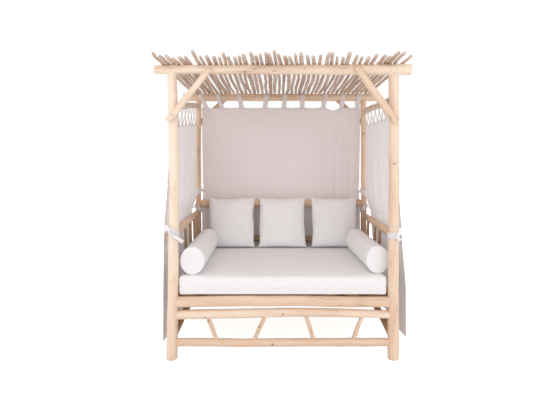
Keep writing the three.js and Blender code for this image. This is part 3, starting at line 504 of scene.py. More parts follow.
def settle(shape, name, materials, node):
    """Makes a bmesh into an object that replaces a measured node."""
    bmesh.ops.recalc_face_normals(shape, faces=shape.faces[:])
    mesh = bpy.data.meshes.new(name)
    shape.to_mesh(mesh)
    shape.free()
    for material in materials:
        mesh.materials.append(material)
    piece = bpy.data.objects.new(name, mesh)
    scene.collection.objects.link(piece)
    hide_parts(node)
    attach(piece, body_of_node[node])
    return piece


def mark_ends(shape, line):
    """Gives the faces at a log's two ends the second material."""
    chord = (line[-1].centre - line[0].centre).normalized()
    for face in shape.faces:
        middle = face.calc_center_median()
        near = min(abs((middle - end.centre).dot(chord)) for end in (line[0], line[-1]))
        if near < END_DEPTH and abs(face.normal.dot(chord)) > 0.8:
            face.material_index = 1
            face.smooth = False


def make_log(node, gnarl, material, tone, clean=(0.1, 0.9), **style):
    """Grows a node's log. The part of it given by clean is measured."""
    seed = sum(ord(letter) * (i + 1) for i, letter in enumerate(node)) % 97
    shape = new_shape(*WOOD_MAPS)
    line = log_line(node, *clean)
    grow_log(shape, line, gnarl, seed, tone=tone, **style)
    shape.normal_update()
    mark_ends(shape, line)
    for vert in shape.verts:
        vert.co.z = max(vert.co.z, 0.0)
    return settle(shape, node + "_log", [material, log_end], node)


# %% Grow the posts, beams and braces
for corner, wood, tone in (("front_left", peeled_wood, -0.5), ("front_right", peeled_wood, 0.4),
                           ("back_left", half_shaded_wood, 0.5), ("back_right", half_shaded_wood, 0.5)):
    make_log(f"{corner}_post", POST, wood, tone, (0.03, 0.93), ends=(CUT, BUTT))
for place, wood, tone in (("front", peeled_wood, -0.1), ("back", half_shaded_wood, -0.2)):
    make_log(f"{place}_top_beam", POST, wood, tone, (0.02, 0.98), ends=(CUT, CUT))
for corner, wood, tone in (("front_left", peeled_wood, -0.1), ("front_right", half_shaded_wood, -0.1),
                           ("back_left", shade_wood, 0.2), ("back_right", shade_wood, 0.2)):
    make_log(f"{corner}_brace", SPINDLE, wood, tone, (0.38, 0.62), ends=(CUT, CUT))
print("posts, beams and braces grown")

# %% [markdown]
# ## Rails and rungs
#
# The rails run from post to post and end inside them. The rungs between the rails are branches
# too, full in the middle and thin where they enter. The wood behind the cushions and under the
# seat lies in shade, and its browner, darker copy of the wood is painted shade.

# %% Grow the rails and the rungs
SIDES = {"left": -1, "right": 1}
for side in SIDES:
    for rail, wood in (("top", half_shaded_wood), ("arm", half_shaded_wood), ("seat", shade_wood),
                       ("bottom", shade_wood)):
        make_log(f"{side}_{rail}_rail", SPINDLE, wood, -0.3)
for rail, tone in (("seat", 0.8), ("middle", -0.35), ("bottom", 0.5)):
    make_log(f"front_{rail}_rail", POST, peeled_wood, tone)
for rail in ("back_seat", "back_bottom", "backrest_lower"):
    make_log(f"{rail}_rail", POST, shade_wood, 0.2)
make_log("backrest_top_rail", SPINDLE, half_shaded_wood, 0.4)

struts = [f"front_strut_{i}" for i in range(1, 5)]
for node in struts:
    make_log(node, SPINDLE, peeled_wood, 0.5, (0.22, 0.78), sides=18, spacing=0.01)
inner_rungs = [f"{side}_{kind}_{i}" for side in SIDES
               for kind, count in (("side_strut", 2), ("arm_slat", 4))
               for i in range(1, count + 1)]
inner_rungs += ["backrest_slat_1", "backrest_slat_2"]
for node in inner_rungs:
    make_log(node, SPINDLE, shade_wood, 0.1, (0.2, 0.8), sides=18, spacing=0.012)
print("rails and", len(struts + inner_rungs), "rungs grown")

# %% [markdown]
# ## The roof of sticks
#
# The roof is 44 bare sticks, thin, lumpy and bent, with a fan of tips over the front beam. The
# measured model joins them in five mats, each one solid, so a slice through a mat gives one face
# for each stick, from left to right. Slices are taken where neighbours don't touch. Past the
# beams each stick is straight, so two slices there give its direction, and the points of the mat
# that lie on that line say where it ends.

# %% Measure the sticks of a mat
def middle_y(node):
    low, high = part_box(node)
    return (low.y + high.y) / 2


front_beam_y = middle_y("front_top_beam")
back_beam_y = middle_y("back_top_beam")
ACROSS_Y = (0, 1, 0)
FRONT_TIP_CUT = 0.1
BACK_END_CUT = 0.055


def stick_end(shape, near, far):
    """The last point of a stick whose line runs through two slices."""
    step = far.centre - near.centre
    last = far.centre
    for vert in shape.verts:
        run = (vert.co.y - near.centre.y) / step.y
        on_line = near.centre + step * run
        if run > 0.5 and (vert.co - on_line).length < near.radius * 1.25:
            if abs(vert.co.y - near.centre.y) > abs(last.y - near.centre.y):
                last = on_line
    return last


def sticks_of(mat, count):
    """The line of every stick in a mat, from its front tip to its back end."""
    shape = copy_of(mat)
    middle = [between(front_beam_y, back_beam_y, share) for share in (0, 0.167, 0.5, 0.833, 1)]
    cuts = [slices(shape, (0, y, 0), ACROSS_Y) for y in middle]
    front = slices(shape, (0, front_beam_y - FRONT_TIP_CUT, 0), ACROSS_Y)
    back = slices(shape, (0, back_beam_y + BACK_END_CUT, 0), ACROSS_Y)
    print(mat, "slices with", [len(c) for c in (front, *cuts, back)], "sticks")
    lines = []
    for i in range(count):
        tip = stick_end(shape, cuts[0][i], front[min(i, len(front) - 1)])
        end = stick_end(shape, cuts[-1][i], back[min(i, len(back) - 1)])
        radii = [cut[i].radius for cut in cuts]
        hearts = [tip, *[cut[i].centre for cut in cuts], end]
        radii = [radii[0] * 0.86, *radii, radii[-1] * 0.9]
        whole = hearts[-1].y - hearts[0].y
        lines.append([Station((heart.y - tip.y) / whole, heart, radius)
                      for heart, radius in zip(hearts, radii)])
    shape.free()
    return lines


# %% Grow the sticks
STICKS_IN_MAT = (9, 9, 8, 9, 9)
ROUNDED = ((0.0, 0.02), (0.0, 0.5), (0.0012, 0.78), (0.004, 0.93), (0.009, 1.0))
stick_number = 0
for mat_number, count in enumerate(STICKS_IN_MAT, 1):
    mat = f"roof_mat_{mat_number}"
    shape = new_shape(*WOOD_MAPS)
    for line in sticks_of(mat, count):
        stick_number += 1
        tone = random.Random(stick_number).uniform(-0.5, 0.7)
        grow_log(shape, line, STICK, 100 + stick_number, sides=14, spacing=0.014,
                 ends=(ROUNDED, ROUNDED), tone=tone)
    settle(shape, f"{mat}_sticks", [stick_wood, stick_end_wood], mat)
print(stick_number, "sticks grown")

# %% [markdown]
# ## The bed panel and the bolts
#
# Two kinds of measured pieces stay as they are, and only get a better finish: the sawn slats
# under the mattress, whose fibres run along their length, and the two bolt heads of the front
# braces, which are dull zinc-plated steel.

# %% The finish of the bed panel and the bolts
def sawn_board(name, pale, dark):
    wood = Finish(name, roughness=0.7)
    place = wood.place()
    fibre = wood.cloudy(wood.stretched(place, (140, 3, 140)), 1.0, 3.0, 0.6)
    broad = wood.cloudy(wood.stretched(place, (9, 1.4, 9)), 1.0, 2.0)
    body = wood.blend(fibre.within(0.3, 0.75) * 0.6 + broad.within(0.4, 0.7) * 0.3, pale, dark)
    return wood.finished(base_color=body, normal=wood.relief(fibre, 0.4, 0.001))


def plated_steel(name, pale, dull):
    steel = Finish(name, metallic=1.0)
    spots = steel.cloudy(steel.place(), 260.0, 3.0, 0.6)
    return steel.finished(base_color=steel.blend(spots.within(0.35, 0.7), pale, dull),
                          roughness=spots * 0.25 + 0.3,
                          normal=steel.relief(spots, 0.2, 0.0004))


board = sawn_board("sawn_bed_slats", colour(214, 182, 146), colour(168, 128, 92))
bolt = plated_steel("plated_bolt_steel", colour(206, 202, 196), colour(150, 144, 138))
kept_finish = {"bed_slats": board, "front_left_brace_bolt": bolt, "front_right_brace_bolt": bolt}
for node, finish in kept_finish.items():
    for slot in nodes[node].material_slots:
        slot.material = finish
print("kept pieces with a finish of their own:", sorted(kept_finish))

# %% [markdown]
# ## Woven cloth
#
# Curtains and cushion covers are plain white weaves. What the eye reads as cloth, from a step
# away, is a faint grid of uneven threads, soft shade in the folds, and darker hems. As with the
# logs, each cloth piece carries its own map: an attribute called weave holds the place on the
# flat cloth, in metres, and another, hem, is 1 on a sewn edge. The curtains let light through,
# most of all those at the sides.

# %% The finish of the cloth
def woven(name, light, shade, thread, hem_colour, **fixed):
    cloth = Finish(name, roughness=0.92, **fixed)
    weave = cloth.attribute("weave")
    hem = cloth.attribute("hem", "Fac")
    warp = cloth.cloudy(cloth.stretched(weave, (1 / thread, 0.06 / thread, 0.06 / thread)), 1.0)
    weft = cloth.cloudy(cloth.stretched(weave, (0.06 / thread, 1 / thread, 1 / thread)), 1.0)
    slub = cloth.cloudy(cloth.stretched(weave, (9, 42, 42)), 1.0, 3.0, 0.6)
    broad = cloth.cloudy(weave, 3.0, 2.0)
    threads = warp * 0.5 + weft * 0.5
    body = cloth.blend(threads.within(0.35, 0.7) * 0.5, light, shade)
    body = cloth.blend(slub.within(0.55, 0.8) * 0.25 + broad.within(0.45, 0.75) * 0.25, body, shade)
    body = cloth.blend(hem * 0.5, body, hem_colour)
    height = threads + slub * 0.5 + hem * 0.6
    return cloth.finished(base_color=body, normal=cloth.relief(height, 0.5, 0.0006))


EVEN_RADIUS = (1, 1, 1)
curtain_cloth = woven("curtain_cloth", colour(238, 230, 230), colour(229, 219, 219), 0.0011,
                      colour(232, 224, 224), subsurface_weight=0.35, subsurface_scale=0.004,
                      subsurface_radius=EVEN_RADIUS)
# The side cloth is paler than the back cloth: painted light on the inner faces, which turn away
# from the lamps. Its stronger subsurface is real translucency.
side_lit_cloth = woven("side_curtain_lit_cloth", colour(250, 245, 248), colour(244, 237, 241), 0.0011,
                   colour(242, 236, 240), subsurface_weight=0.8, subsurface_scale=0.006,
                   subsurface_radius=EVEN_RADIUS)
cushion_cloth = woven("cushion_canvas", colour(243, 242, 243), colour(236, 234, 234), 0.0014,
                      colour(232, 230, 230))
print("cloths:", curtain_cloth.name, side_lit_cloth.name, cushion_cloth.name)

# %% [markdown]
# ## The curtains
#
# Each curtain is one flat cloth that hangs from loops, so it starts as a grid. Its points are
# moved to where the cloth hangs: straight down, in soft upright folds that deepen towards the
# hem, and sagging a little between its loops. A folded cloth is wider when it is laid flat, so
# its true size is measured from the finished mesh. A Solidify modifier gives it a thickness.

# %% Cloth that starts flat
CURTAIN_THICKNESS = 0.0016
STRAP_THICKNESS = 0.0012
TIE_THICKNESS = 0.0014
CURTAIN_HEM = 0.03
STRIP_HEM = 0.004


def hang(shape, columns, rows, place, flat, hem_width):
    """Adds a grid whose points go where place(across, down) says, both from 0 to 1."""
    weave_map, hem_map = maps_of(shape, *CLOTH_MAPS)
    grid = bmesh.ops.create_grid(shape, x_segments=columns, y_segments=rows, size=0.5)
    for vert in grid["verts"]:
        across, down = vert.co.x + 0.5, 0.5 - vert.co.y
        edge = min(across * flat[0], (1 - across) * flat[0], down * flat[1], (1 - down) * flat[1])
        vert[weave_map] = (across * flat[0], down * flat[1], 0.0)
        vert[hem_map] = 1.0 if edge < hem_width else 0.0
        vert.co = place(across, down)
    for face in shape.faces:
        face.smooth = True


def run_of(points):
    return sum((b - a).length for a, b in zip(points, points[1:]))


def flat_size(place):
    """How wide and how long a hung cloth is when it is laid flat."""
    across = [i / 360 for i in range(361)]
    down = [i / 60 for i in range(61)]
    width = max(run_of([place(a, d) for a in across]) for d in (0.0, 0.5, 1.0))
    length = max(run_of([place(a, d) for d in down]) for a in (0.0, 0.5, 1.0))
    return width, length


def sew(shape, name, material, node, thickness):
    """Makes a cloth bmesh into a piece with a thickness."""
    piece = settle(shape, name, [material], node)
    solid = piece.modifiers.new("cloth_thickness", "SOLIDIFY")
    solid.thickness = thickness
    solid.offset = 0
    return piece


def ease(share):
    share = min(max(share, 0.0), 1.0)
    return share * share * (3 - 2 * share)


def bump_at(value, centre, width):
    return math.exp(-((value - centre) / width) ** 2)


# %% [markdown]
# The back curtain hangs from nine tabs between the back posts, and passes behind the backrest.
# It is nearly flat in the middle, with a few deeper folds towards its right edge, and widens a
# little below its ties.

# %% Hang the back curtain
TAB_SAG = 0.007
TOP_DIP = 0.022
BACK_TOP = 1.858
HEM_HEIGHT = 0.092
BACK_HALF_WIDTH = 0.743
LOW_HALF_WIDTH = 0.755
WIDE_FROM, WIDE_BELOW = 1.05, 0.954
BACKREST_CLEARANCE = 0.054
BACKREST_TOP = 0.93
TAB_PLACES = (-0.727, -0.575, -0.382, -0.145, 0.031, 0.2, 0.405, 0.573, 0.722)
BACK_FOLDS = ((-0.66, 0.03, 0.007), (-0.44, 0.05, 0.004), (-0.2, 0.06, 0.004),
              (0.12, 0.05, 0.004), (0.33, 0.04, 0.005), (0.53, 0.014, 0.013),
              (0.57, 0.012, -0.011), (0.655, 0.014, 0.011), (0.69, 0.012, -0.009))


def sag_between(x, places, depth):
    """How far a top edge drops between the loops that hold it."""
    near = min(abs(x - place) for place in places)
    return depth * ease(near / 0.09)


def back_curtain_place(across, down):
    x = between(-BACK_HALF_WIDTH, BACK_HALF_WIDTH, across)
    level = between(BACK_TOP, HEM_HEIGHT, down)
    x *= between(1, LOW_HALF_WIDTH / BACK_HALF_WIDTH,
                 ease((WIDE_FROM - level) / (WIDE_FROM - WIDE_BELOW)))
    top = BACK_TOP - sag_between(x, TAB_PLACES, TAB_SAG) - TOP_DIP * bump_at(x, 0.487, 0.055)
    z = between(top, HEM_HEIGHT, down)
    behind = ease((BACK_TOP - z) / (BACK_TOP - BACKREST_TOP)) * BACKREST_CLEARANCE
    fold = sum(depth * bump_at(x + 0.02 * down, where, width * (1 + down))
               for where, width, depth in BACK_FOLDS)
    soft = noise.noise(Vector((x * 4.5, z * 0.9, 0.4))) * 0.007
    drawn = sag_between(x, TAB_PLACES, 0.004) * (1 - ease(down * 6))
    return Vector((x, back_beam_y + behind + (fold + soft) * between(0.45, 1.0, down) + drawn, z))


back_flat = flat_size(back_curtain_place)
shape = new_shape(*CLOTH_MAPS)
hang(shape, 210, 150, back_curtain_place, back_flat, CURTAIN_HEM)
back_curtain = sew(shape, "back_curtain_cloth", curtain_cloth, "back_curtain", CURTAIN_THICKNESS)
print("back curtain, laid flat:", [round(side, 3) for side in back_flat])

# %% [markdown]
# A side curtain hangs from seven straps, just outside its rail. The top edge of the left one rises
# towards the back, that of the right one falls a little. Each leans outwards on its way down to
# the arm rail and is tied to the posts there. Below, the right one swings out.

# %% Hang the side curtains
SIDE_TOP = {-1: 1.638, 1: 1.705}
SIDE_TOP_RISE = {-1: 0.064, 1: -0.016}
RAIL_OUT = 0.786
TIED_OUT = 0.8366
BACK_EDGE_HUG = 12
HALF_DEPTH = 0.5
TOP_INSET = 0.048
TIED_INSET = 0.014
FRONT_TIE = 0.903
BACK_TIE = 0.916
SIDE_HEM = {-1: 0.101, 1: 0.131}
SWING = {-1: 0.005, 1: 0.03}
STRAP_PLACES = tuple(share * HALF_DEPTH for share in (-0.78, -0.52, -0.26, 0.0, 0.26, 0.52, 0.78))
mid_y = (front_beam_y + back_beam_y) / 2


def side_curtain_place(sign):
    def place(across, down):
        highest = SIDE_TOP[sign] + SIDE_TOP_RISE[sign] * across
        tie = between(FRONT_TIE, BACK_TIE, across)
        drawn = min((highest - between(highest, SIDE_HEM[sign], down)) / (highest - tie), 1)
        swung = drawn ** between(1, BACK_EDGE_HUG, across)
        half = HALF_DEPTH - between(TOP_INSET, TIED_INSET, swung)
        y = between(-half, half, across)
        top = highest - sag_between(y, STRAP_PLACES, 0.006)
        z = between(top, SIDE_HEM[sign], down)
        below = ease((tie - z) / (tie / 2))
        upright = math.sin((across * 4.2 + 0.15 * down) * math.tau)
        soft = noise.noise(Vector((y * 5, z * 1.1, sign * 2.2)))
        loose = ease(across * 12 + 0.3) * ease((1 - across) * 12 + 0.3)
        fold = (upright * 0.0045 + soft * 0.004) * between(0.5, 1.2, down) * loose
        x = between(RAIL_OUT, TIED_OUT, swung) + below * SWING[sign] + fold
        return Vector((sign * x, mid_y + y, z))
    return place


def down_to(height, across, sign):
    """The share of the way down a side curtain where it hangs at a height."""
    top = SIDE_TOP[sign] + SIDE_TOP_RISE[sign] * across
    return (top - height) / (top - SIDE_HEM[sign])


for side, sign in SIDES.items():
    place = side_curtain_place(sign)
    flat = flat_size(place)
    shape = new_shape(*CLOTH_MAPS)
    hang(shape, 130, 150, place, flat, CURTAIN_HEM)
    curtain = sew(shape, f"{side}_curtain_cloth", side_lit_cloth, f"{side}_curtain", CURTAIN_THICKNESS)
    print(side, "curtain, laid flat:", [round(size, 3) for size in flat])

# %% [markdown]
# ## Tabs, straps and ties
#
# All of these are narrow strips of the same cloth. One helper lays a strip along a line of
# points, with a direction for its width at each. The tabs and straps run up from the curtain,
# over the wood and down again. The line over the wood comes from slices through the measured
# beams and rails, so the cloth lies on them.

# %% A strip of cloth along a line
TIE_WIDTH = 0.042
TAB_WIDTH = 0.042
STRAP_WIDTH = 0.026
LOOSE_END_WIDTH = 0.026


def strip(shape, line, widths, crosswise, columns):
    """Lays a strip along a line, with its width along the crosswise directions."""
    last = len(line) - 1

    def place(across, down):
        i = round(down * last)
        return line[i] + crosswise[i] * (across - 0.5) * widths[i]

    hang(shape, columns, last, place, (TIE_WIDTH, run_of(line)), STRIP_HEM)


def smooth_line(points, per_leg):
    """More points on a smooth curve through the given ones."""
    ends = [points[0] * 2 - points[1], *points, points[-1] * 2 - points[-2]]
    line = [on_curve(*ends[i - 1:i + 3], k / per_leg)
            for i in range(1, len(ends) - 2) for k in range(per_leg)]
    return line + [points[-1]]


def looped_strip(shape, points, width, way):
    """Lays a tab or strap of one width along a smooth line."""
    line = smooth_line(points, 4)
    strip(shape, line, [width] * len(line), [Vector(way)] * len(line), 5)


def slice_at(node, point, direction):
    shape = copy_of(node)
    found = max(slices(shape, point, direction), key=lambda cut: cut.radius)
    shape.free()
    return found


# %% Tabs over the back beam
TAB_LEANS = (0.047, 0.028, 0.018, -0.018, -0.010, -0.004, -0.018, -0.010, -0.012)
OVER_WOOD = 0.004
shape = new_shape(*CLOTH_MAPS)
for x, lean in zip(TAB_PLACES, TAB_LEANS):
    beam = slice_at("back_top_beam", (x, 0, 0), (1, 0, 0))
    reach = beam.radius + OVER_WOOD
    foot = back_curtain_place((x / BACK_HALF_WIDTH + 1) / 2, 0.0)
    heart = beam.centre
    over = [Vector((x - lean * 0.5, heart.y + reach * math.cos(a), heart.z + reach * math.sin(a)))
            for a in (math.pi * k / 8 for k in range(8, -1, -1))]
    drop = Vector((0, 0, 0.016))
    points = [foot + Vector((lean * 0.5, -0.003, 0)) - drop,
              foot + Vector((lean * 0.42, -0.004, 0.012)), *over,
              foot + Vector((lean * 0.3, 0.004, 0.012)),
              foot + Vector((lean * 0.35, 0.003, 0)) - drop]
    looped_strip(shape, points, TAB_WIDTH, (1, 0, 0))
tabs = sew(shape, "back_curtain_tabs", curtain_cloth, "back_curtain", STRAP_THICKNESS)
print(len(TAB_PLACES), "tabs sewn")

# %% Straps over the side rails
for side, sign in SIDES.items():
    shape = new_shape(*CLOTH_MAPS)
    for i, y in enumerate(STRAP_PLACES):
        rail = slice_at(f"{side}_top_rail", (0, mid_y + y, 0), (0, 1, 0))
        reach = rail.radius + OVER_WOOD
        foot = side_curtain_place(sign)((y / (HALF_DEPTH - TOP_INSET) + 1) / 2, 0.0)
        lean = noise.noise(Vector((i * 1.7, sign * 3.1, 0.2))) * 0.03
        over = [Vector((rail.centre.x + sign * reach * math.cos(a), rail.centre.y + lean,
                        rail.centre.z + reach * math.sin(a)))
                for a in (math.pi * k / 8 for k in range(9))]
        drop = Vector((0, 0, 0.014))
        points = [foot + Vector((sign * 0.003, 0, 0)) - drop,
                  foot + Vector((sign * 0.003, lean * 0.1, 0.01)), *over,
                  foot + Vector((-sign * 0.004, lean * 0.1, 0.012)),
                  foot + Vector((-sign * 0.003, 0, 0)) - drop]
        looped_strip(shape, points, STRAP_WIDTH, (0, 1, 0))
    sew(shape, f"{side}_curtain_straps", curtain_cloth,
                             f"{side}_curtain", STRAP_THICKNESS)
print(len(STRAP_PLACES), "straps sewn on each side")

# %% [markdown]
# A tie is a strip wound once round a post, with loose ends. On the left it slants down towards the
# seat and its knot hangs inside the post. On the right it lies level, with one end turned up.

# %% Tie the curtains to the posts
FrontTie = namedtuple("FrontTie", "height slant width")
FRONT_TIES = {"left": FrontTie(0.886, -0.028, 0.055), "right": FrontTie(0.867, 0.004, 0.044)}
BACK_TIE_SLANT = 0.022
TURN_STEPS = 24
TIE_COLUMNS = 6


def ways_along(line):
    """The direction of a line at each of its points."""
    last = len(line) - 1
    return [(line[min(i + 1, last)] - line[max(i - 1, 0)]).normalized() for i in range(last + 1)]


def wind(shape, post, height, slant, width, start, curtain_edge):
    """Winds a tie round a post, and leads it to the edge of the curtain."""
    around = []
    for k in range(TURN_STEPS + 1):
        angle = start + math.tau * k / TURN_STEPS
        level = height + slant * math.cos(angle)
        cut = slice_at(post, (0, 0, level), (0, 0, 1))
        out = Vector((math.cos(angle), math.sin(angle), 0))
        pucker = 0.0012 * math.sin(k * 2.3)
        around.append(cut.centre + out * (cut.radius * 1.03 + 0.0045 + pucker))
    up = [(Vector((0, 0, 1)) - way * way.z).normalized() for way in ways_along(around)]
    widths = [width * (1 - 0.12 * math.sin(k * 1.9)) for k in range(TURN_STEPS + 1)]
    strip(shape, around, widths, up, TIE_COLUMNS)
    side_way = curtain_edge - around[0]
    line = [around[0] + side_way * (k / 6) + Vector((0, 0, -0.004 * math.sin(math.pi * k / 6)))
            for k in range(7)]
    strip(shape, line, [width * (0.8 - 0.25 * math.sin(math.pi * k / 6)) for k in range(7)],
          [Vector((0, 0, 1))] * 7, TIE_COLUMNS)


def loose_end(shape, points):
    """A strip end that hangs free, with its face to the front."""
    line = smooth_line([Vector(p) for p in points], 5)
    last = len(line) - 1
    crosswise = [way.cross(Vector((0, 1, 0))).normalized() for way in ways_along(line)]
    widths = [LOOSE_END_WIDTH * (0.7 + 0.4 * i / last) for i in range(last + 1)]
    strip(shape, line, widths, crosswise, TIE_COLUMNS)


LOOSE_ENDS = {
    "left": (((0.35, -1.35, 0.866), (1.1, -1.5, 0.852), (1.6, -1.3, 0.838), (2.1, -1.1, 0.822)),
             ((-0.5, -1.4, 0.905), (-1.1, -1.3, 0.92), (-1.5, -1.1, 0.938))),
    "right": (((0.2, -1.35, 0.868), (0.8, -1.4, 0.884), (1.15, -1.25, 0.921)),
              ((0.1, -1.42, 0.862), (0.65, -1.45, 0.852), (0.95, -1.3, 0.832))),
}
for side, sign in SIDES.items():
    tie = FRONT_TIES[side]
    place = side_curtain_place(sign)
    outer = 0.0 if sign > 0 else math.pi
    shape = new_shape(*CLOTH_MAPS)
    wind(shape, f"front_{side}_post", tie.height, tie.slant, tie.width, outer,
         place(0.0, down_to(FRONT_TIE, 0, sign)))
    wind(shape, f"back_{side}_post", BACK_TIE, sign * BACK_TIE_SLANT, TIE_WIDTH, outer,
         place(1.0, down_to(BACK_TIE, 1, sign)))
    post = slice_at(f"front_{side}_post", (0, 0, tie.height), (0, 0, 1))
    for points in LOOSE_ENDS[side]:
        loose_end(shape, [(post.centre.x + x * post.radius, post.centre.y + y * post.radius, z)
                          for x, y, z in points])
    sew(shape, f"{side}_curtain_ties", side_lit_cloth, f"{side}_curtain", TIE_THICKNESS)

BACK_TIES = {"left": (1.066, 0.026), "right": (1.056, -0.024)}
shape = new_shape(*CLOTH_MAPS)
for side, sign in SIDES.items():
    height, slant = BACK_TIES[side]
    edge = back_curtain_place((sign + 1) / 2, (BACK_TOP - height) / (BACK_TOP - HEM_HEIGHT))
    wind(shape, f"back_{side}_post", height, slant, TIE_WIDTH, math.pi if sign > 0 else 0.0, edge)
back_ties = sew(shape, "back_curtain_ties", curtain_cloth, "back_curtain", TIE_THICKNESS)

# %% [markdown]
# The tabs, straps and ties are sewn to their curtain, so they go with it.

print("curtains, tabs, straps and ties sewn")

# %% [markdown]
# ## Cushions by cloth simulation
#
# A cushion's shape comes from air pushing against cloth that can't stretch: full in the middle,
# drawn in along its sides, with small puckers at the seams. Blender's cloth solver does just
# that. Each cushion starts as a closed cover a little slimmer than the real one, is blown up
# with no gravity for 12 to 16 frames, and then the result is kept as a plain mesh. A cap on how
# far a point may move, or a last fit to a box, keeps the size true.

# %% Blow up a cover
CLOTH_QUALITY = 6
CLOTH_MASS = 0.3


def blow_up(shape, name, pressure, frames, stiffness, bending):
    """Runs a cover through the cloth solver and returns its points afterwards."""
    mesh = bpy.data.meshes.new(name)
    shape.to_mesh(mesh)
    cover = bpy.data.objects.new(name, mesh)
    scene.collection.objects.link(cover)
    cloth = cover.modifiers.new("air", "CLOTH")
    cloth.settings.quality = CLOTH_QUALITY
    cloth.settings.mass = CLOTH_MASS
    cloth.settings.tension_stiffness = stiffness
    cloth.settings.compression_stiffness = stiffness
    cloth.settings.shear_stiffness = stiffness * 0.4
    cloth.settings.bending_stiffness = bending
    cloth.settings.use_pressure = True
    cloth.settings.uniform_pressure_force = pressure
    cloth.settings.effector_weights.gravity = 0
    cloth.collision_settings.use_collision = False
    cloth.point_cache.frame_start = 1
    cloth.point_cache.frame_end = frames
    for frame_number in range(1, frames + 1):
        scene.frame_set(frame_number)
    blown = cover.evaluated_get(bpy.context.evaluated_depsgraph_get())
    points = [vert.co.copy() for vert in blown.data.vertices]
    bpy.data.objects.remove(cover)
    bpy.data.meshes.remove(mesh)
    scene.frame_set(1)
    return points


def fit_to(points, low, high):
    """Scales points so that they just fill a box."""
    first = [min(p[i] for p in points) for i in range(3)]
    last = [max(p[i] for p in points) for i in range(3)]
    return [Vector([between(low[i], high[i], (p[i] - first[i]) / (last[i] - first[i]))
                    for i in range(3)]) for p in points]


# %% [markdown]
# A square pillow is two squares of canvas, sewn together round the edge. Here too: two grids lie
# on each other, their rims are merged, and the air does the rest. The corners stay pointed, the
# sides draw in a little, and the lower edge is pressed straight by what it stands on.

# %% Sew the pillows
PILLOW_CELLS = 56
PILLOW_LEAN = 0.25
PILLOW_SIZE = Vector((0.446, 0.466, 0.15))
PILLOW_CAP = 0.008
DRAWN_IN = 0.065


def pillow_cover(seed):
    shape = new_shape(*CLOTH_MAPS)
    weave_map, hem_map = maps_of(shape, *CLOTH_MAPS)
    half = PILLOW_SIZE / 2
    for face_side in (1, -1):
        made = bmesh.ops.create_grid(shape, x_segments=PILLOW_CELLS, y_segments=PILLOW_CELLS,
                                     size=1.0)
        for vert in made["verts"]:
            u, v = vert.co.x, vert.co.y
            vert[weave_map] = (u * 0.23 + seed, v * 0.23, 0.0)
            vert[hem_map] = 1.0 if max(abs(u), abs(v)) > 0.985 else 0.0
            lower = 0.15 if v < 0 else 1.0
            rumple = 0.6 + 0.7 * noise.noise(Vector((u * 1.7, v * 1.7, seed * 5)))
            x = u * (1 - DRAWN_IN * rumple * (1 - v ** 4) * u * u)
            y = v * (1 - DRAWN_IN * rumple * lower * (1 - u ** 4) * v * v)
            full = max((1 - u * u) * (1 - v * v), 0.0) ** 0.46
            dent = 1 + 0.16 * noise.noise(Vector((u * 2.2, v * 2.2, seed * 3 + face_side)))
            corner = ease(abs(u) * 3 - 1.4) * ease(abs(v) * 3 - 1.4)
            dent += 0.22 * corner * math.sin((abs(u) - abs(v)) * 26 + seed)
            vert.co = (x * half.x, y * half.y, face_side * full * half.z * 0.9 * dent)
    bmesh.ops.remove_doubles(shape, verts=shape.verts, dist=1e-5)
    bmesh.ops.recalc_face_normals(shape, faces=shape.faces[:])
    return shape


def capped(shape, after, cap, low, high):
    """Moves a cover's points to where the air took them, no further than a cap and a box."""
    for vert, end in zip(shape.verts, after):
        move = end - vert.co
        if move.length > cap:
            move *= cap / move.length
        moved = vert.co + move
        vert.co = Vector([min(max(moved[i], low[i]), high[i]) for i in range(3)])


def finish_padded(shape, node):
    """Smooths a blown-up cover once and makes it a padded piece."""
    bmesh.ops.smooth_vert(shape, verts=shape.verts, factor=0.35, use_axis_x=True,
                          use_axis_y=True, use_axis_z=True)
    for face in shape.faces:
        face.smooth = True
    piece = settle(shape, node + "_cushion", [cushion_cloth], node)
    rounder = piece.modifiers.new("smooth", "SUBSURF")
    rounder.levels = rounder.render_levels = 1
    return piece


for number, place in enumerate(("left", "middle", "right")):
    node = f"{place}_pillow"
    low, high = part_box(node)
    shape = pillow_cover(number * 1.31 + 0.4)
    after = blow_up(shape, node + "_cover", pressure=2.5, frames=16, stiffness=30, bending=0.3)
    capped(shape, after, PILLOW_CAP, -PILLOW_SIZE / 2, PILLOW_SIZE / 2)
    turn = Matrix.Rotation(math.pi / 2 - PILLOW_LEAN, 4, "X")
    upright = Matrix.Translation((low + high) / 2) @ turn
    for vert in shape.verts:
        vert.co = upright @ vert.co
        vert.co.z = max(vert.co.z, low.z)
    finish_padded(shape, node)
    print(node, "sewn")

# %% [markdown]
# A bolster is a tube of canvas with a round cap sewn in at each end. It is rolled up from a grid
# as the logs are, with rows for the caps, and blown up a little.

# %% Sew the bolsters
BOLSTER_HALF_HEIGHT = 0.099
BOLSTER_HALF_WIDTH = 0.087
BOLSTER_SIDES = 72


def bolster_cover(length, radius):
    shape = new_shape(*CLOTH_MAPS)
    weave_map, = maps_of(shape, "weave")
    cap = [(0.0, share) for share in (0.0, 0.12, 0.25, 0.38, 0.5, 0.62, 0.74, 0.86, 0.95)]
    body = [(length * i / 64, 1.0) for i in range(65)]
    rows = cap + body + [(length, share) for _, share in reversed(cap)]
    made = bmesh.ops.create_grid(shape, x_segments=len(rows) - 1, y_segments=BOLSTER_SIDES,
                                 size=0.5)
    for vert in made["verts"]:
        run, share = rows[round((vert.co.x + 0.5) * (len(rows) - 1))]
        angle = (vert.co.y + 0.5) * math.tau
        vert[weave_map] = (run + share * 0.2, angle * radius, 0.0)
        vert.co = (radius * share * math.cos(angle), run, radius * share * math.sin(angle))
    bmesh.ops.remove_doubles(shape, verts=shape.verts, dist=1e-5)
    bmesh.ops.recalc_face_normals(shape, faces=shape.faces[:])
    return shape


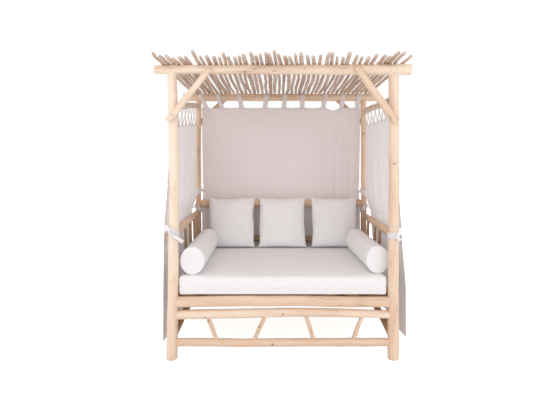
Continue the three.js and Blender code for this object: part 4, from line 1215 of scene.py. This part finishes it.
BOLSTER_TURN = {"left": 0.0, "right": 0.055}
for side, turn in BOLSTER_TURN.items():
    node = f"{side}_bolster"
    low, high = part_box(node)
    size = high - low
    length = (size.y - 2 * BOLSTER_HALF_WIDTH * math.sin(turn)) / math.cos(turn)
    shape = bolster_cover(length * 0.98, BOLSTER_HALF_HEIGHT * 0.965)
    points = blow_up(shape, node + "_cover", pressure=3.0, frames=12, stiffness=60, bending=0.6)
    half = Vector((BOLSTER_HALF_WIDTH, length / 2, BOLSTER_HALF_HEIGHT))
    middle = (low + high) / 2
    placed = Matrix.Translation(middle) @ Matrix.Rotation(turn, 4, "Z")
    for vert, point in zip(shape.verts, fit_to(points, -half, half)):
        vert.co = placed @ point
    finish_padded(shape, node)
    print(node, "sewn, length", round(length, 3))

# %% [markdown]
# The mattress is one thick box cushion. Its cover starts from a copy of the measured mattress,
# remeshed into even squares and made a little smaller.

# %% Sew the mattress
MATTRESS_SQUARES = 0.009
MATTRESS_SHRINK = (0.9995, 0.9995, 0.975)
MATTRESS_CAP = 0.004


def remeshed(node, voxel, shrink):
    """A cover of even squares round a measured node, shrunk about its middle."""
    copy = bpy.data.objects.new(node + "_copy", nodes[node].data.copy())
    scene.collection.objects.link(copy)
    closed = copy_of(node)
    closed.to_mesh(copy.data)
    closed.free()
    remesh = copy.modifiers.new("even_squares", "REMESH")
    remesh.mode = "VOXEL"
    remesh.voxel_size = voxel
    mesh = bpy.data.meshes.new_from_object(
        copy.evaluated_get(bpy.context.evaluated_depsgraph_get()))
    bpy.data.objects.remove(copy)
    shape = new_shape(*CLOTH_MAPS)
    shape.from_mesh(mesh)
    low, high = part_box(node)
    middle = (low + high) / 2
    for vert in shape.verts:
        vert.co = middle + Vector([(vert.co[i] - middle[i]) * shrink[i] for i in range(3)])
    return shape


low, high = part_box("mattress")
shape = remeshed("mattress", MATTRESS_SQUARES, MATTRESS_SHRINK)
after = blow_up(shape, "mattress_cover", pressure=3.0, frames=14, stiffness=60, bending=2.0)
capped(shape, after, MATTRESS_CAP, low, high)
weave_map, = maps_of(shape, "weave")
for vert in shape.verts:
    vert[weave_map] = vert.co.copy()
finish_padded(shape, "mattress")
print("mattress sewn")

# %% [markdown]
# ## The studio
#
# The photograph has a pure white ground and soft light from the front and the upper left. A wide
# lamp gives the main light, a weaker one from the right keeps the shadows open, and a pale world
# fills in. The camera alone sees a pure white world and a floor that glows a little, so that the
# ground is white and the feet still have their soft shadow.

# %% The floor
floor_shape = bmesh.new()
bmesh.ops.create_grid(floor_shape, x_segments=4, y_segments=4, size=14)
floor_mesh = bpy.data.meshes.new("studio_floor")
floor_shape.to_mesh(floor_mesh)
floor_shape.free()
floor = bpy.data.objects.new("studio_floor", floor_mesh)
floor.location.z = -0.0005
scene.collection.objects.link(floor)

FLOOR_GLOW = (0.82, 0.82, 0.82, 1)
ground = Finish("studio_ground", base_color=colour(236, 235, 234), roughness=0.9,
                emission_strength=1.0)
floor_mesh.materials.append(ground.finished(
    emission_color=ground.blend(ground.seen(), (0, 0, 0, 1), FLOOR_GLOW)))

# %% The world and the lamps
LAMP_AIM = (0, 0, 0.9)
world = bpy.data.worlds.new("studio_world")
scene.world = world
world.use_nodes = True
sky = Network(world.node_tree)
white = sky.node("ShaderNodeBackground", {}, {"Color": (1, 1, 1, 1), "Strength": 1.0})
pale = sky.node("ShaderNodeBackground", {}, {"Color": (1.0, 0.985, 0.985, 1), "Strength": 0.98})
chosen = sky.node("ShaderNodeMixShader", {}, {0: sky.seen(), 1: pale, 2: white})
sky.plug(chosen, sky.nodes["World Output"].inputs["Surface"])


def soft_lamp(name, place, size, watts, tint):
    data = bpy.data.lights.new(name, "AREA")
    data.shape = "RECTANGLE"
    data.size, data.size_y = size
    data.energy = watts
    data.color = tint
    lamp = bpy.data.objects.new(name, data)
    lamp.location = place
    lamp.rotation_euler = (Vector(LAMP_AIM) - Vector(place)).to_track_quat("-Z", "Y").to_euler()
    scene.collection.objects.link(lamp)


soft_lamp("main_lamp", (-2.4, -4.6, 3.0), (3.2, 2.6), watts=33, tint=(1, 0.99, 0.985))
soft_lamp("fill_lamp", (3.2, -4.0, 2.2), (2.6, 2.4), watts=20, tint=(1, 0.99, 1.0))
scene.view_settings.view_transform = "Standard"
print("studio ready")
